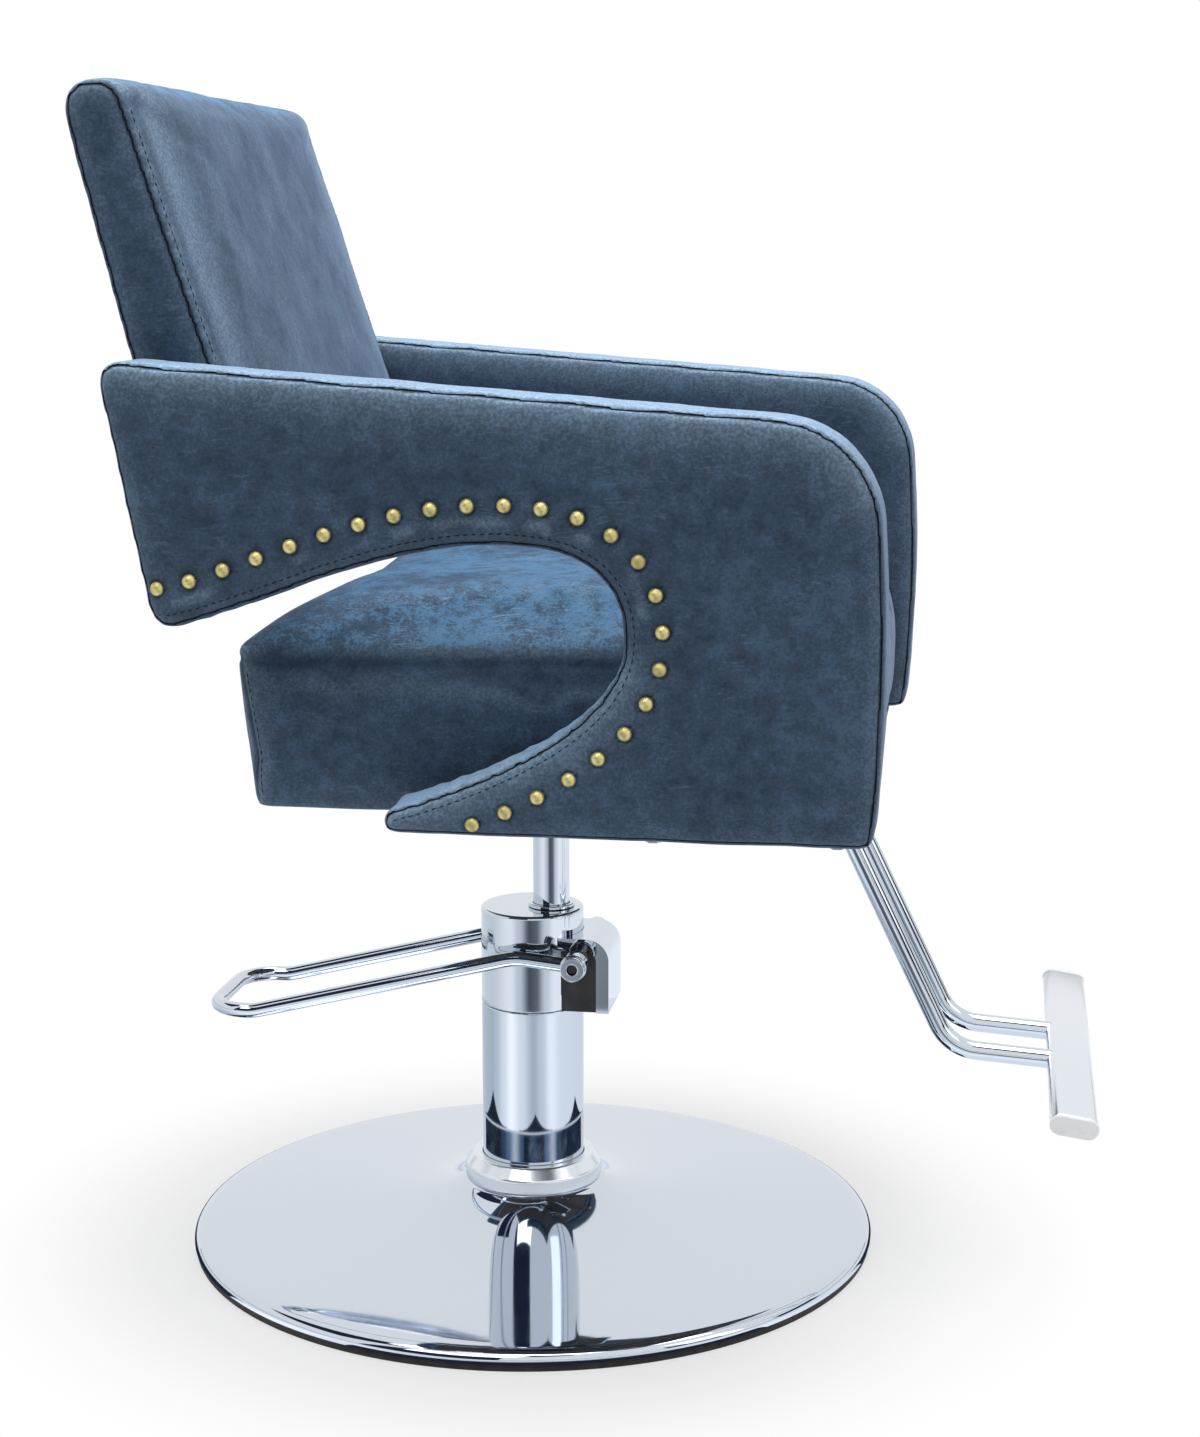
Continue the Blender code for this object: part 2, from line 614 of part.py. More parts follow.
def build_pedal(look: Looks, pedal: bpy.types.Object) -> None:
    """Build the shaft, the rocker fork, the U-shaped pedal and its bolts."""
    pivot = (PIVOT_X, 0.0, PIVOT_Z)
    eye_in = LEG_Y - PEDAL_BAR_RADIUS - 0.0005
    eye_out = LEG_Y + PEDAL_BAR_RADIUS
    half = eye_in - FIT
    bolt_hole = BOLT_RADIUS + SCREW_PLAY
    shaft = piece("pivot_shaft", rod(SHAFT_RADIUS, -half, half, 24), look.steel, pedal, pivot, ALONG_Y)

    tail = [(-FORK_HALF * math.sin(a), FORK_HALF * math.cos(a)) for a in [math.pi * i / 6 for i in range(7)]]
    tail_x = PLUNGER_X + 0.001
    outline = [(tail_x + x - PIVOT_X, z) for x, z in tail]
    root = math.acos(FORK_HALF / FORK_HUB)
    for step in range(13):
        angle = -math.pi / 2 - root + (math.pi + 2 * root) * step / 12
        outline.append((FORK_HUB * math.cos(angle), FORK_HUB * math.sin(angle)))
    slab = lofted([[(x, y, z) for x, z in outline] for y in (-FORK_OUT, FORK_OUT)])
    fork = piece("rocker_fork", slab, look.steel, pedal, pivot)
    clear = FORK_OUT - FORK_ARM
    window = block((tail_x + FORK_HALF, -clear, PIVOT_Z - 0.02), (PIVOT_X - FORK_HUB, clear, PIVOT_Z + 0.02))
    combine(fork, guide("fork_window", window, pedal))
    fork_bore = guide("fork_bore", rod(SHAFT_RADIUS + FIT, -0.04, 0.04, 24), pedal, pivot, ALONG_Y)
    combine(fork, fork_bore)

    end_z = PEDAL_END_Z
    leg = [
        (PEDAL_FRONT, -LEG_Y, PIVOT_Z - 0.001),
        (PEDAL_CREST_X, -LEG_Y, PEDAL_CREST_Z),
        (PEDAL_DIP_X, -LEG_Y, end_z),
        (PEDAL_END_X, -LEG_Y, end_z),
    ]
    other = [(x, -y, z) for x, y, z in reversed(leg)]
    corners = leg + other
    radii = (0.060, 0.045, PEDAL_LOOP_BEND, PEDAL_LOOP_BEND, 0.045, 0.060)
    steps = (3, 3, 6, 6, 3, 3)
    path = [corners[0]]
    for index in range(1, len(corners) - 1):
        before, corner, after = corners[index - 1 : index + 2]
        path += bend(before, corner, after, radii[index - 1], steps[index - 1])
    path.append(corners[-1])
    bar = piece("pedal_bar", swept(path, PEDAL_BAR_RADIUS, 10), look.chrome, pedal)
    for name, sign in (("right", 1), ("left", -1)):
        low, high = sorted((sign * eye_in, sign * eye_out))
        eye = guide(f"pedal_eye_{name}", rod(EYE_RADIUS, low, high, 20), pedal, pivot, ALONG_Y)
        combine(bar, eye, "UNION")
    for name, sign in (("right", 1), ("left", -1)):
        reach = eye_out + FIT - PIVOT_BOLT_REACH
        face = eye_out + FIT
        bolt = [
            (0, face + PIVOT_BOLT_THICK - 0.0035),
            (0.0045, face + PIVOT_BOLT_THICK - 0.0035),
            (0.0045, face + PIVOT_BOLT_THICK),
            (PIVOT_BOLT_HEAD - 0.0012, face + PIVOT_BOLT_THICK),
            (PIVOT_BOLT_HEAD, face + PIVOT_BOLT_THICK - 0.0012),
            (PIVOT_BOLT_HEAD, face),
            (BOLT_RADIUS, face),
            (BOLT_RADIUS, reach),
            (0, reach),
        ]
        turn = (sign * math.pi / 2, 0, 0)
        piece(f"pivot_bolt_{name}", spun(bolt, 20), look.chrome, pedal, pivot, turn)
        bored = rod(bolt_hole, reach - FIT, eye_out + 0.01, 16)
        hole = guide(f"pivot_bolt_hole_{name}", bored, pedal, pivot, turn)
        combine(bar, hole)
        combine(shaft, hole)


def build_plunger(look: Looks, plunger: bpy.types.Object) -> None:
    """Build the pump plunger and the spring that lifts it."""
    at = (PLUNGER_X, 0.0, 0.0)
    neck = PLUNGER_TOP - PLUNGER_HEAD
    shape = [
        (0, PLUNGER_TOP),
        (PLUNGER_HEAD_RADIUS, PLUNGER_TOP),
        (PLUNGER_HEAD_RADIUS, neck),
        (PLUNGER_RADIUS, neck),
        (PLUNGER_RADIUS, PLUNGER_FOOT),
        (0, PLUNGER_FOOT),
    ]
    piece("pump_plunger", spun(shape, 16), look.steel, plunger, at)
    coil = PLUNGER_RADIUS + SPRING_WIRE + 0.0008
    low = BARREL_TOP + FIT + SPRING_WIRE
    high = neck - FIT - SPRING_WIRE
    count = SPRING_TURNS * 9
    path = []
    for step in range(count + 1):
        angle = math.tau * SPRING_TURNS * step / count
        rise = low + (high - low) * step / count
        path.append((coil * math.cos(angle), coil * math.sin(angle), rise))
    piece("plunger_spring", swept(path, SPRING_WIRE, 5), look.steel, plunger, at)


def build_lift(look: Looks, lift: bpy.types.Object) -> None:
    """Build the piston that the oil raises."""
    at = (RAM_X, 0.0, 0.0)
    radius = RAM_BORE - RUNNING
    top = PISTON_BOTTOM + PISTON_HEIGHT
    middle = PISTON_BOTTOM + PISTON_HEIGHT / 2
    groove = SEAL_WIRE + FIT
    piston = [
        (0, top),
        (radius, top),
        (radius, middle + groove),
        (radius - 2 * groove, middle + groove),
        (radius - 2 * groove, middle - groove),
        (radius, middle - groove),
        (radius, PISTON_BOTTOM),
        (0, PISTON_BOTTOM),
    ]
    piece("piston_head", spun(piston), look.steel, lift, at)
    centre = radius - groove
    section = [math.tau * step / 6 for step in range(6)]
    seal = [(centre + SEAL_WIRE * math.cos(a), middle + SEAL_WIRE * math.sin(a)) for a in section]
    piece("piston_seal", spun(seal, ring=True), look.rubber, lift, at)
    low = top + FIT
    piece("thrust_washer", rod(RAM_RADIUS - 0.0005, low, low + WASHER_THICK), look.brass, lift, at)


def hex_bolt(name: str, look, parent, x: float, y: float, face: float, bite: float) -> None:
    """Make a hexagon bolt that goes up through a plate whose underside is at the given height."""
    head = face - FIT
    shape = [(0, bite), (BOLT_RADIUS, bite), (BOLT_RADIUS, head), (0, head)]
    obj = piece(name, spun(shape, 12), look, parent, (x, y, 0))
    flats = rod(HEX_RADIUS, head - HEX_THICK, head + FIT / 2, 6)
    combine(obj, guide(f"{name}_head", flats, parent, (x, y, 0)), "UNION")


def bolt_way(name: str, parent, x: float, y: float, low: float, bite: float) -> bpy.types.Object:
    """Make the hidden hole that a bolt needs."""
    return guide(name, rod(BOLT_RADIUS + SCREW_PLAY, low, bite + FIT, 12), parent, (x, y, 0))


def arm_outline() -> list:
    """Return the side outline of an arm panel, counterclockwise with x to the right and z up."""
    rear_top = (ARM_REAR_X, ARM_REAR_Z)
    front_top = (ARM_FRONT_X, ARM_FRONT_Z)
    toe = (ARM_TOE_X, UNDERSIDE)
    tip = (ARM_TIP_X, UNDERSIDE + ARM_TIP_RADIUS)
    elbow = (ARM_ELBOW_X, ARM_ELBOW_Z)
    steep = math.atan(ARM_SLOPE)
    mouth_rear = (MOUTH_REAR_X, elbow[1] + (MOUTH_REAR_X - elbow[0]) * ARM_SLOPE)
    mouth_top = (MOUTH_TOP_X, MOUTH_TOP_Z)
    mouth_front = (MOUTH_FRONT_X, MOUTH_FRONT_Z)
    tip_top = (tip[0] - ARM_TIP_RADIUS * math.sin(steep), tip[1] + ARM_TIP_RADIUS * math.cos(steep))

    points = [(ARM_TIP_X, UNDERSIDE)]
    points += line(points[0], toe, 5)
    points += bend(points[0], toe, front_top, ARM_TOE_CORNER, 3)
    brow = bend(toe, front_top, rear_top, ARM_FRONT_CORNER, 8)
    lean = brow[0][1] - points[-1][1]
    bulge = ARM_FRONT_X + ARM_FRONT_BULGE
    pull = (bulge - 0.002, points[-1][1] + lean * 0.35)
    push = (bulge, brow[0][1] - lean * 0.35)
    points += curve(points[-1], pull, push, brow[0], 7)[1:]
    points += brow
    crest = bend(front_top, rear_top, elbow, ARM_REAR_CORNER, 4)
    points += line(brow[-1], crest[0], 8)
    points += crest
    heel = bend(rear_top, elbow, mouth_rear, ARM_ELBOW_CORNER, 4)
    points += line(crest[-1], heel[0], 5)
    points += heel
    ahead = MOUTH_REAR_PULL
    points += curve(
        mouth_rear,
        (mouth_rear[0] + ahead, mouth_rear[1] + ahead * ARM_SLOPE),
        (mouth_top[0] - ahead, mouth_top[1]),
        mouth_top,
        9,
    )
    round_top = (mouth_top[0] + MOUTH_TOP_PULL, mouth_top[1])
    round_front = (mouth_front[0], mouth_front[1] + MOUTH_FRONT_PULL)
    points += curve(mouth_top, round_top, round_front, mouth_front, 8)
    reach = MOUTH_TIP_PULL
    points += curve(
        mouth_front,
        (mouth_front[0], mouth_front[1] - MOUTH_LOW_PULL),
        (tip_top[0] + reach * math.cos(steep), tip_top[1] + reach * math.sin(steep)),
        tip_top,
        11,
    )
    sweep = math.pi - steep
    for step in range(6):
        angle = math.pi / 2 + steep + sweep * step / 6
        points.append((tip[0] + ARM_TIP_RADIUS * math.cos(angle), tip[1] + ARM_TIP_RADIUS * math.sin(angle)))
    return points


def rounding(radius: float, steps: int) -> list:
    """Return pairs of inset and depth that round the edge of a panel."""
    angles = [math.pi / 2 * step / steps for step in range(steps + 1)]
    return [(radius * (1 - math.sin(a)), radius * (1 - math.cos(a))) for a in angles]


def build_arms(look: Looks, seat: bpy.types.Object) -> dict:
    """Build both arm panels and return them by side."""
    outline = arm_outline()
    edge = rounding(ARM_EDGE, 3)
    arms = {}
    for side, sign in (("right", -1), ("left", 1)):
        rings = []
        for inset, depth in edge:
            rings.append([(x, sign * (ARM_INNER + depth), z) for x, z in inset_outline(outline, inset)])
        for inset, depth in reversed(edge):
            rings.append([(x, sign * (ARM_OUTER - depth), z) for x, z in inset_outline(outline, inset)])
        arms[side] = piece(f"arm_panel_{side}", lofted(rings), look.cover, seat)
    return arms


def rounded_rectangle(half_x: float, half_y: float, corner: float) -> list:
    """Return a counterclockwise rectangle about the origin with round corners and split sides."""
    points = []
    corners = ((1, 1, 0.0), (-1, 1, 0.25), (-1, -1, 0.5), (1, -1, 0.75))
    for sign_x, sign_y, start in corners:
        middle = (sign_x * (half_x - corner), sign_y * (half_y - corner))
        for step in range(4):
            angle = math.tau * (start + 0.25 * step / 3)
            points.append((middle[0] + corner * math.cos(angle), middle[1] + corner * math.sin(angle)))
    split = []
    for index, point in enumerate(points):
        split.append(point)
        if index % 4 == 3:
            split += line(point, points[(index + 1) % len(points)], 6)
    return split


def build_seat(look: Looks, seat: bpy.types.Object) -> None:
    """Build the seat cushion, its board and the steel under it."""
    half_x = (SEAT_FRONT - SEAT_REAR) / 2
    middle = (SEAT_FRONT + SEAT_REAR) / 2
    low = UNDERSIDE + FIT
    height = SEAT_TOP - low
    levels = [(0.005, low), (0.0015, low + 0.0018), (0.0, low + 0.006), (0.0016, low + height * 0.45)]
    for inset, depth in reversed(rounding(SEAT_EDGE, 4)):
        levels.append((inset, SEAT_TOP - depth))
    rings = []
    for inset, z in levels:
        plan = rounded_rectangle(half_x - inset, SEAT_HALF - inset, max(SEAT_CORNER, SEAT_CORNER + inset * 0.4))
        lift = (z - low) / height
        lean = SEAT_REAR_LEAN * (1 - lift)
        ring = [(x + lean * max(0.0, -x / half_x), y, z + SEAT_SLOPE * x * lift) for x, y in plan]
        rings.append([(x + middle, y, z) for x, y, z in ring])
    for share in (0.80, 0.55, 0.28, 0.10):
        plan = rounded_rectangle((half_x - SEAT_EDGE) * share, (SEAT_HALF - SEAT_EDGE) * share, 0.016 * share)
        ring = []
        for x, y in plan:
            swell = (1 - (x / half_x) ** SEAT_CROWN_POWER) * (1 - (y / SEAT_HALF) ** SEAT_CROWN_POWER)
            ring.append((x + middle, y, SEAT_TOP + SEAT_CROWN * swell + SEAT_SLOPE * x))
        rings.append(ring)
    cushion = piece("seat_cushion", lofted(rings), look.cover, seat)

    board_top = BOARD_BOTTOM + BOARD_THICK
    board_low = (BOARD_REAR, -BOARD_HALF, BOARD_BOTTOM)
    board = piece("seat_board", block(board_low, (BOARD_FRONT, BOARD_HALF, board_top)), look.board, seat)
    pocket = block(
        (BOARD_REAR - FIT, -BOARD_HALF - FIT, UNDERSIDE - 0.01),
        (BOARD_FRONT + FIT, BOARD_HALF + FIT, board_top + FIT),
    )
    combine(cushion, guide("board_pocket", pocket, seat))

    plate_low = UNDER_METAL - SEAT_PLATE_THICK
    size = SEAT_PLATE_HALF
    plate = piece(
        "seat_plate", block((RAM_X - size, -size, plate_low), (RAM_X + size, size, UNDER_METAL)), look.black, seat
    )
    hub = guide("hub", rod(HUB_RADIUS, plate_low - HUB_DROP, plate_low + 0.001), seat, (RAM_X, 0, 0))
    combine(plate, hub, "UNION")
    reach = size - 0.012
    for number, turn in enumerate((math.pi / 4, -math.pi / 4)):
        drop = HUB_DROP * 0.6
        fin = [(-reach, plate_low + 0.001), (-reach, plate_low - 0.006), (-HUB_RADIUS, plate_low - drop)]
        fin += [(HUB_RADIUS, plate_low - drop), (reach, plate_low - 0.006), (reach, plate_low + 0.001)]
        rib = lofted([[(x, y, z) for x, z in fin] for y in (-RIB_THICK / 2, RIB_THICK / 2)])
        combine(plate, guide(f"hub_rib_{number + 1}", rib, seat, (RAM_X, 0, 0), (0, 0, turn)), "UNION")
    bore = rod(RAM_RADIUS + FIT, plate_low - HUB_DROP - 0.01, ROD_TOP + FIT)
    combine(plate, guide("hub_bore", bore, seat, (RAM_X, 0, 0)))
    slim = RAM_RADIUS - 0.002
    shape = [(0, ROD_TOP), (slim, ROD_TOP), (RAM_RADIUS, ROD_TOP - 0.002), (RAM_RADIUS, ROD_FOOT), (0, ROD_FOOT)]
    piece("ram_rod", spun(shape), look.chrome, seat, (RAM_X, 0, 0))

    bite = BOARD_BOTTOM + BOARD_BITE
    number = 0
    for along, across in ((-1, 0), (1, 0), (0, -1), (0, 1)):
        number += 1
        x = RAM_X + along * PLATE_BOLT_OFFSET
        y = across * PLATE_BOLT_OFFSET
        hex_bolt(f"plate_bolt_{number}", look.steel, seat, x, y, plate_low, bite)
        way = bolt_way(f"plate_bolt_hole_{number}", seat, x, y, plate_low - 0.01, bite)
        combine(plate, way)
        combine(board, way)

    arms = build_arms(look, seat)
    build_back(look, seat, arms)
    bar_low = UNDER_METAL - BAR_THICK
    for name, x in (("front", FRONT_BAR_X), ("rear", REAR_BAR_X)):
        size = block(
            (x - BAR_HALF_WIDTH, -BAR_HALF_LENGTH, bar_low), (x + BAR_HALF_WIDTH, BAR_HALF_LENGTH, UNDER_METAL)
        )
        bar = piece(f"cross_bar_{name}", size, look.black, seat)
        for side, sign in (("right", -1), ("left", 1)):
            y = sign * ARM_BOLT_Y
            bite_arm = UNDERSIDE + ARM_BITE
            hex_bolt(f"arm_bolt_{name}_{side}", look.steel, seat, x, y, bar_low, bite_arm)
            way = bolt_way(f"arm_bolt_hole_{name}_{side}", seat, x, y, bar_low - 0.01, bite_arm)
            combine(bar, way)
            combine(arms[side], way)
    build_footrest(look, seat, board)


def build_back(look: Looks, seat: bpy.types.Object, arms: dict) -> None:
    """Build the leaning back cushion and the studs that hold it between the arms."""
    rise = BACK_TOP - BACK_BOTTOM
    foot_rear = (BACK_REAR_X, BACK_BOTTOM)
    foot_front = (BACK_FRONT_X, BACK_BOTTOM)
    head_rear = (BACK_REAR_X - BACK_REAR_LEAN * rise, BACK_TOP)
    head_front = (BACK_FRONT_X - BACK_FRONT_LEAN * rise, BACK_TOP)
    front_foot = bend(foot_rear, foot_front, head_front, BACK_FOOT_ROUND, 3)
    front_head = bend(foot_front, head_front, head_rear, BACK_TOP_ROUND, 5)
    rear_head = bend(head_front, head_rear, foot_rear, BACK_TOP_ROUND, 5)
    rear_foot = bend(head_rear, foot_rear, foot_front, BACK_FOOT_ROUND, 3)
    outline = front_foot + line(front_foot[-1], front_head[0], 7) + front_head + rear_head
    outline += line(rear_head[-1], rear_foot[0], 5) + rear_foot
    facing = []
    for index in range(len(outline)):
        along = Vector(outline[(index + 1) % len(outline)]) - Vector(outline[index - 1])
        facing.append(max(0.0, along.normalized().y))
    stations = [(inset, BACK_HALF - depth) for inset, depth in rounding(BACK_EDGE, 2)]
    rings = []
    sides = [(inset, -y) for inset, y in stations]
    for share in (-0.88, -0.74, -0.42, 0.0, 0.42, 0.74, 0.88):
        sides.append((None, share * BACK_HALF))
    sides += [(inset, y) for inset, y in reversed(stations)]
    for inset, y in sides:
        if inset is None:
            crown = 1 - abs(y / BACK_HALF) ** BACK_CROWN_POWER
            steps = [-crown * (BACK_CROWN * f + BACK_REST_CROWN * (1 - f)) for f in facing]
            ring = inset_outline(outline, steps)
        else:
            ring = inset_outline(outline, inset)
        rings.append([(x, y, z) for x, z in ring])
    cushion = piece("back_cushion", lofted(rings), look.cover, seat)
    for side, sign in (("right", -1), ("left", 1)):
        for name, share in zip(("low", "high"), STUD_SHARES):
            z = ARM_ELBOW_Z + share * (ARM_REAR_Z - ARM_ELBOW_Z)
            up = z - BACK_BOTTOM
            rear = BACK_REAR_X - BACK_REAR_LEAN * up
            front = BACK_FRONT_X - BACK_FRONT_LEAN * up
            at = ((rear + front) / 2, sign * ARM_INNER, z)
            stud = rod(STUD_RADIUS, -STUD_HALF, STUD_HALF, 16)
            piece(f"back_stud_{side}_{name}", stud, look.steel, seat, at, ALONG_Y)
            hole = rod(STUD_RADIUS + FIT, -STUD_HALF - FIT, STUD_HALF + FIT, 16)
            way = guide(f"back_stud_hole_{side}_{name}", hole, seat, at, ALONG_Y)
            combine(cushion, way)
            combine(arms[side], way)


def stadium(width: float, height: float, steps: int) -> list:
    """Return a flat oval about the origin, counterclockwise in x and z."""
    radius = height / 2
    run = width / 2 - radius
    points = []
    for centre, start in ((run, -math.pi / 2), (-run, math.pi / 2)):
        for step in range(steps + 1):
            angle = start + math.pi * step / steps
            points.append((centre + radius * math.cos(angle), radius * math.sin(angle)))
    return points


def build_footrest(look: Looks, seat: bpy.types.Object, board: bpy.types.Object) -> None:
    """Build the T-shaped footrest and the bracket that holds it under the seat."""
    plate_low = UNDER_METAL - SEAT_PLATE_THICK
    size = block(
        (BRACKET_PLATE_REAR, -BRACKET_PLATE_HALF, plate_low),
        (BRACKET_PLATE_FRONT, BRACKET_PLATE_HALF, UNDER_METAL),
    )
    bracket = piece("footrest_bracket", size, look.black, seat)
    bite = BOARD_BOTTOM + BOARD_BITE
    for name, sign in (("right", -1), ("left", 1)):
        y = sign * FOOT_BOLT_Y
        hex_bolt(f"footrest_bolt_{name}", look.steel, seat, FOOT_BOLT_X, y, plate_low, bite)
        way = bolt_way(f"footrest_bolt_hole_{name}", seat, FOOT_BOLT_X, y, plate_low - 0.01, bite)
        combine(bracket, way)
        combine(board, way)

    centre = (FOOT_BAR_X, 0.0, FOOT_BAR_Z)
    tilt = (0, FOOT_BAR_TILT, 0)
    section = stadium(FOOT_BAR_WIDTH, FOOT_BAR_HEIGHT, 6)
    ends = (-FOOT_BAR_HALF, FOOT_BAR_HALF)
    bar = piece(
        "footrest_bar", lofted([[(x, y, z) for x, z in section] for y in ends]), look.chrome, seat, centre, tilt
    )
    hollow = inset_outline(section, FOOT_BAR_WALL)
    core = lofted([[(x, 1.1 * y, z) for x, z in hollow] for y in ends])
    combine(bar, guide("footrest_bar_core", core, seat, centre, tilt))
    cope = [[(x, y, z) for x, z in inset_outline(section, -FIT)] for y in (-0.1, 0.1)]
    cope = guide("footrest_cope", lofted(cope), seat, centre, tilt)

    plate_cut = block((0.1, -0.1, plate_low - FIT), (0.4, 0.1, plate_low + 0.1))
    plate_cut = guide("footrest_tube_top", plate_cut, seat)
    run_x = TUBE_BEND_X - TUBE_TOP_X
    run_z = TUBE_BEND_Z - plate_low
    for name, sign in (("right", -1), ("left", 1)):
        y = sign * TUBE_Y
        top = (TUBE_TOP_X - 0.1 * run_x, y, plate_low - 0.1 * run_z)
        corner = (TUBE_BEND_X, y, TUBE_BEND_Z)
        path = [top] + bend(top, corner, (FOOT_BAR_X, y, FOOT_BAR_Z), TUBE_BEND_RADIUS, 6)
        path.append((FOOT_BAR_X, y, FOOT_BAR_Z))
        leg = piece(f"footrest_tube_{name}", swept(path, TUBE_RADIUS, 14), look.chrome, seat)
        combine(leg, plate_cut)
        combine(leg, cope)
        ahead = block((FOOT_BAR_X, y - 0.02, FOOT_BAR_Z - 0.03), (FOOT_BAR_X + 0.05, y + 0.02, FOOT_BAR_Z + 0.03))
        combine(leg, guide(f"footrest_tube_end_{name}", ahead, seat))
        face = FOOT_BAR_HALF + FIT
        plug = FOOT_BAR_WALL + FIT
        stations = (
            (0.0025, face + CAP_THICK),
            (0.0008, face + CAP_THICK - 0.0006),
            (0.0, face + CAP_THICK - 0.002),
            (0.0, face),
            (plug, face),
            (plug, face - CAP_SPIGOT),
        )
        rings = [[(x, sign * y, z) for x, z in inset_outline(section, inset)] for inset, y in stations]
        piece(f"footrest_cap_{name}", lofted(rings), look.cap, seat, centre, tilt)


def main() -> None:
    """Build the whole chair."""
    clear_scene()
    look = Looks()
    base = axis_empty("base_frame", None, (0, 0, 0))
    pedal = axis_empty("pedal_axis", base, (PIVOT_X, 0, PIVOT_Z))
    plunger = axis_empty("plunger_axis", base, (PLUNGER_X, 0, 0))
    lift = axis_empty("lift_axis", base, (RAM_X, 0, 0))
    seat = axis_empty("swivel_axis", lift, (RAM_X, 0, 0))
    build_base(look, base)
    build_pump(look, base)
    build_pedal(look, pedal)
    build_plunger(look, plunger)
    build_lift(look, lift)
    build_seat(look, seat)


main()
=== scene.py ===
"""Hydraulic styling chair: upholstery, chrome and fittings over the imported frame."""

import json
import logging
import math
from dataclasses import dataclass
from enum import Enum
from typing import Callable, Sequence

import bmesh
import bpy
import numpy as np
from mathutils import Matrix, Quaternion, Vector, noise
from mathutils.bvhtree import BVHTree
from mathutils.kdtree import KDTree


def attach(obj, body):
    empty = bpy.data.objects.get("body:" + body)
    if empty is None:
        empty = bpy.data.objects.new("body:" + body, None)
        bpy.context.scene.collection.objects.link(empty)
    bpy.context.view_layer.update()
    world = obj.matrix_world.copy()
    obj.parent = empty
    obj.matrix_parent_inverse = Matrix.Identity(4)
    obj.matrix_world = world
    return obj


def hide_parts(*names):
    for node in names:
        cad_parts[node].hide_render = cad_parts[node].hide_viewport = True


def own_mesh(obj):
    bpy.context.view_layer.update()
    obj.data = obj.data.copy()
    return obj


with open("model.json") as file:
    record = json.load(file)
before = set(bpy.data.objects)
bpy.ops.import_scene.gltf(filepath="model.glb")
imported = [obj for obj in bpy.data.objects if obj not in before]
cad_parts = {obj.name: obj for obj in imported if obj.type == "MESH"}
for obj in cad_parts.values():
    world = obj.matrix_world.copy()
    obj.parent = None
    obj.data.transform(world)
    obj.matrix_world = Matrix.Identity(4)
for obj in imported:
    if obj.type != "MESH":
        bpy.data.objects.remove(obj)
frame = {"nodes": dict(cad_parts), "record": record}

logging.basicConfig(level=logging.INFO, format="%(relativeCreated)d ms: %(message)s")
LOG = logging.getLogger("styling_chair")

Point = tuple[float, float, float]
Flat = tuple[float, float]
Lines = Sequence[Sequence[Point]]
Material = bpy.types.Material
Node = bpy.types.Node
Shape = bmesh.types.BMesh
Socket = bpy.types.NodeSocket
Thing = bpy.types.Object
Tree = bpy.types.NodeTree


class Side(Enum):
    """The sitter's two sides, with the sign of Y on each."""

    RIGHT = -1
    LEFT = 1

    @property
    def label(self) -> str:
        """Return the side's name as the frame's nodes spell it."""
        return self.name.lower()


class Body(Enum):
    """The moving bodies of the frame."""

    BASE = "base"
    PEDAL = "pedal"
    PLUNGER = "plunger"
    SEAT = "seat"


class Slot(Enum):
    """The record's material slots."""

    COVER = "upholstery"
    CHROME = "chrome"
    STEEL = "bare_steel"
    PAINT = "black_paint"
    RUBBER = "black_rubber"
    BEARING = "bearing_brass"
    BOARD = "plywood"
    PLASTIC = "pale_plastic"


class Canvas:
    """A node tree that is filled one node at a time."""

    def __init__(self, tree: Tree) -> None:
        """Keep the tree that is to be filled."""
        self.tree = tree

    def add(self, kind: str, sockets: dict | None = None, **settings: object) -> Node:
        """Add a node, set it up and link its inputs.

        Args:
            kind: The node's type name.
            sockets: Input name or number to a constant or to an output socket.
            **settings: Properties of the node.

        Returns:
            The new node.
        """
        node = self.tree.nodes.new(kind)
        for name, value in settings.items():
            setattr(node, name, value)
        for key, value in (sockets or {}).items():
            self.feed(node.inputs[key], value)
        return node

    def feed(self, socket: Socket, value: object) -> None:
        """Link an output to a socket, or set the socket's constant."""
        if isinstance(value, Socket):
            self.tree.links.new(value, socket)
        else:
            socket.default_value = value

    def math(self, how: str, first: object, second: object = 0.0) -> Socket:
        """Add a Math node and return its result."""
        return self.add("ShaderNodeMath", {0: first, 1: second}, operation=how).outputs[0]

    def span(
        self, value: object, low: float, high: float, to_low: float = 0.0, to_high: float = 1.0
    ) -> Socket:
        """Add a smooth Map Range from one span to another and return its result."""
        sockets = {"Value": value, "From Min": low, "From Max": high, "To Min": to_low, "To Max": to_high}
        node = self.add("ShaderNodeMapRange", sockets, interpolation_type="SMOOTHSTEP")
        return node.outputs["Result"]

    def blend(self, share: object, first: object, second: object) -> Socket:
        """Add a colour Mix node and return its result."""
        return self.add("ShaderNodeMix", {0: share, 6: first, 7: second}, data_type="RGBA").outputs[2]

    def cloud(self, where: object, scale: float, detail: float = 4.0, rough: float = 0.55) -> Socket:
        """Add a Noise texture and return its value."""
        sockets = {"Vector": where, "Scale": scale, "Detail": detail, "Roughness": rough}
        return self.add("ShaderNodeTexNoise", sockets).outputs["Fac"]


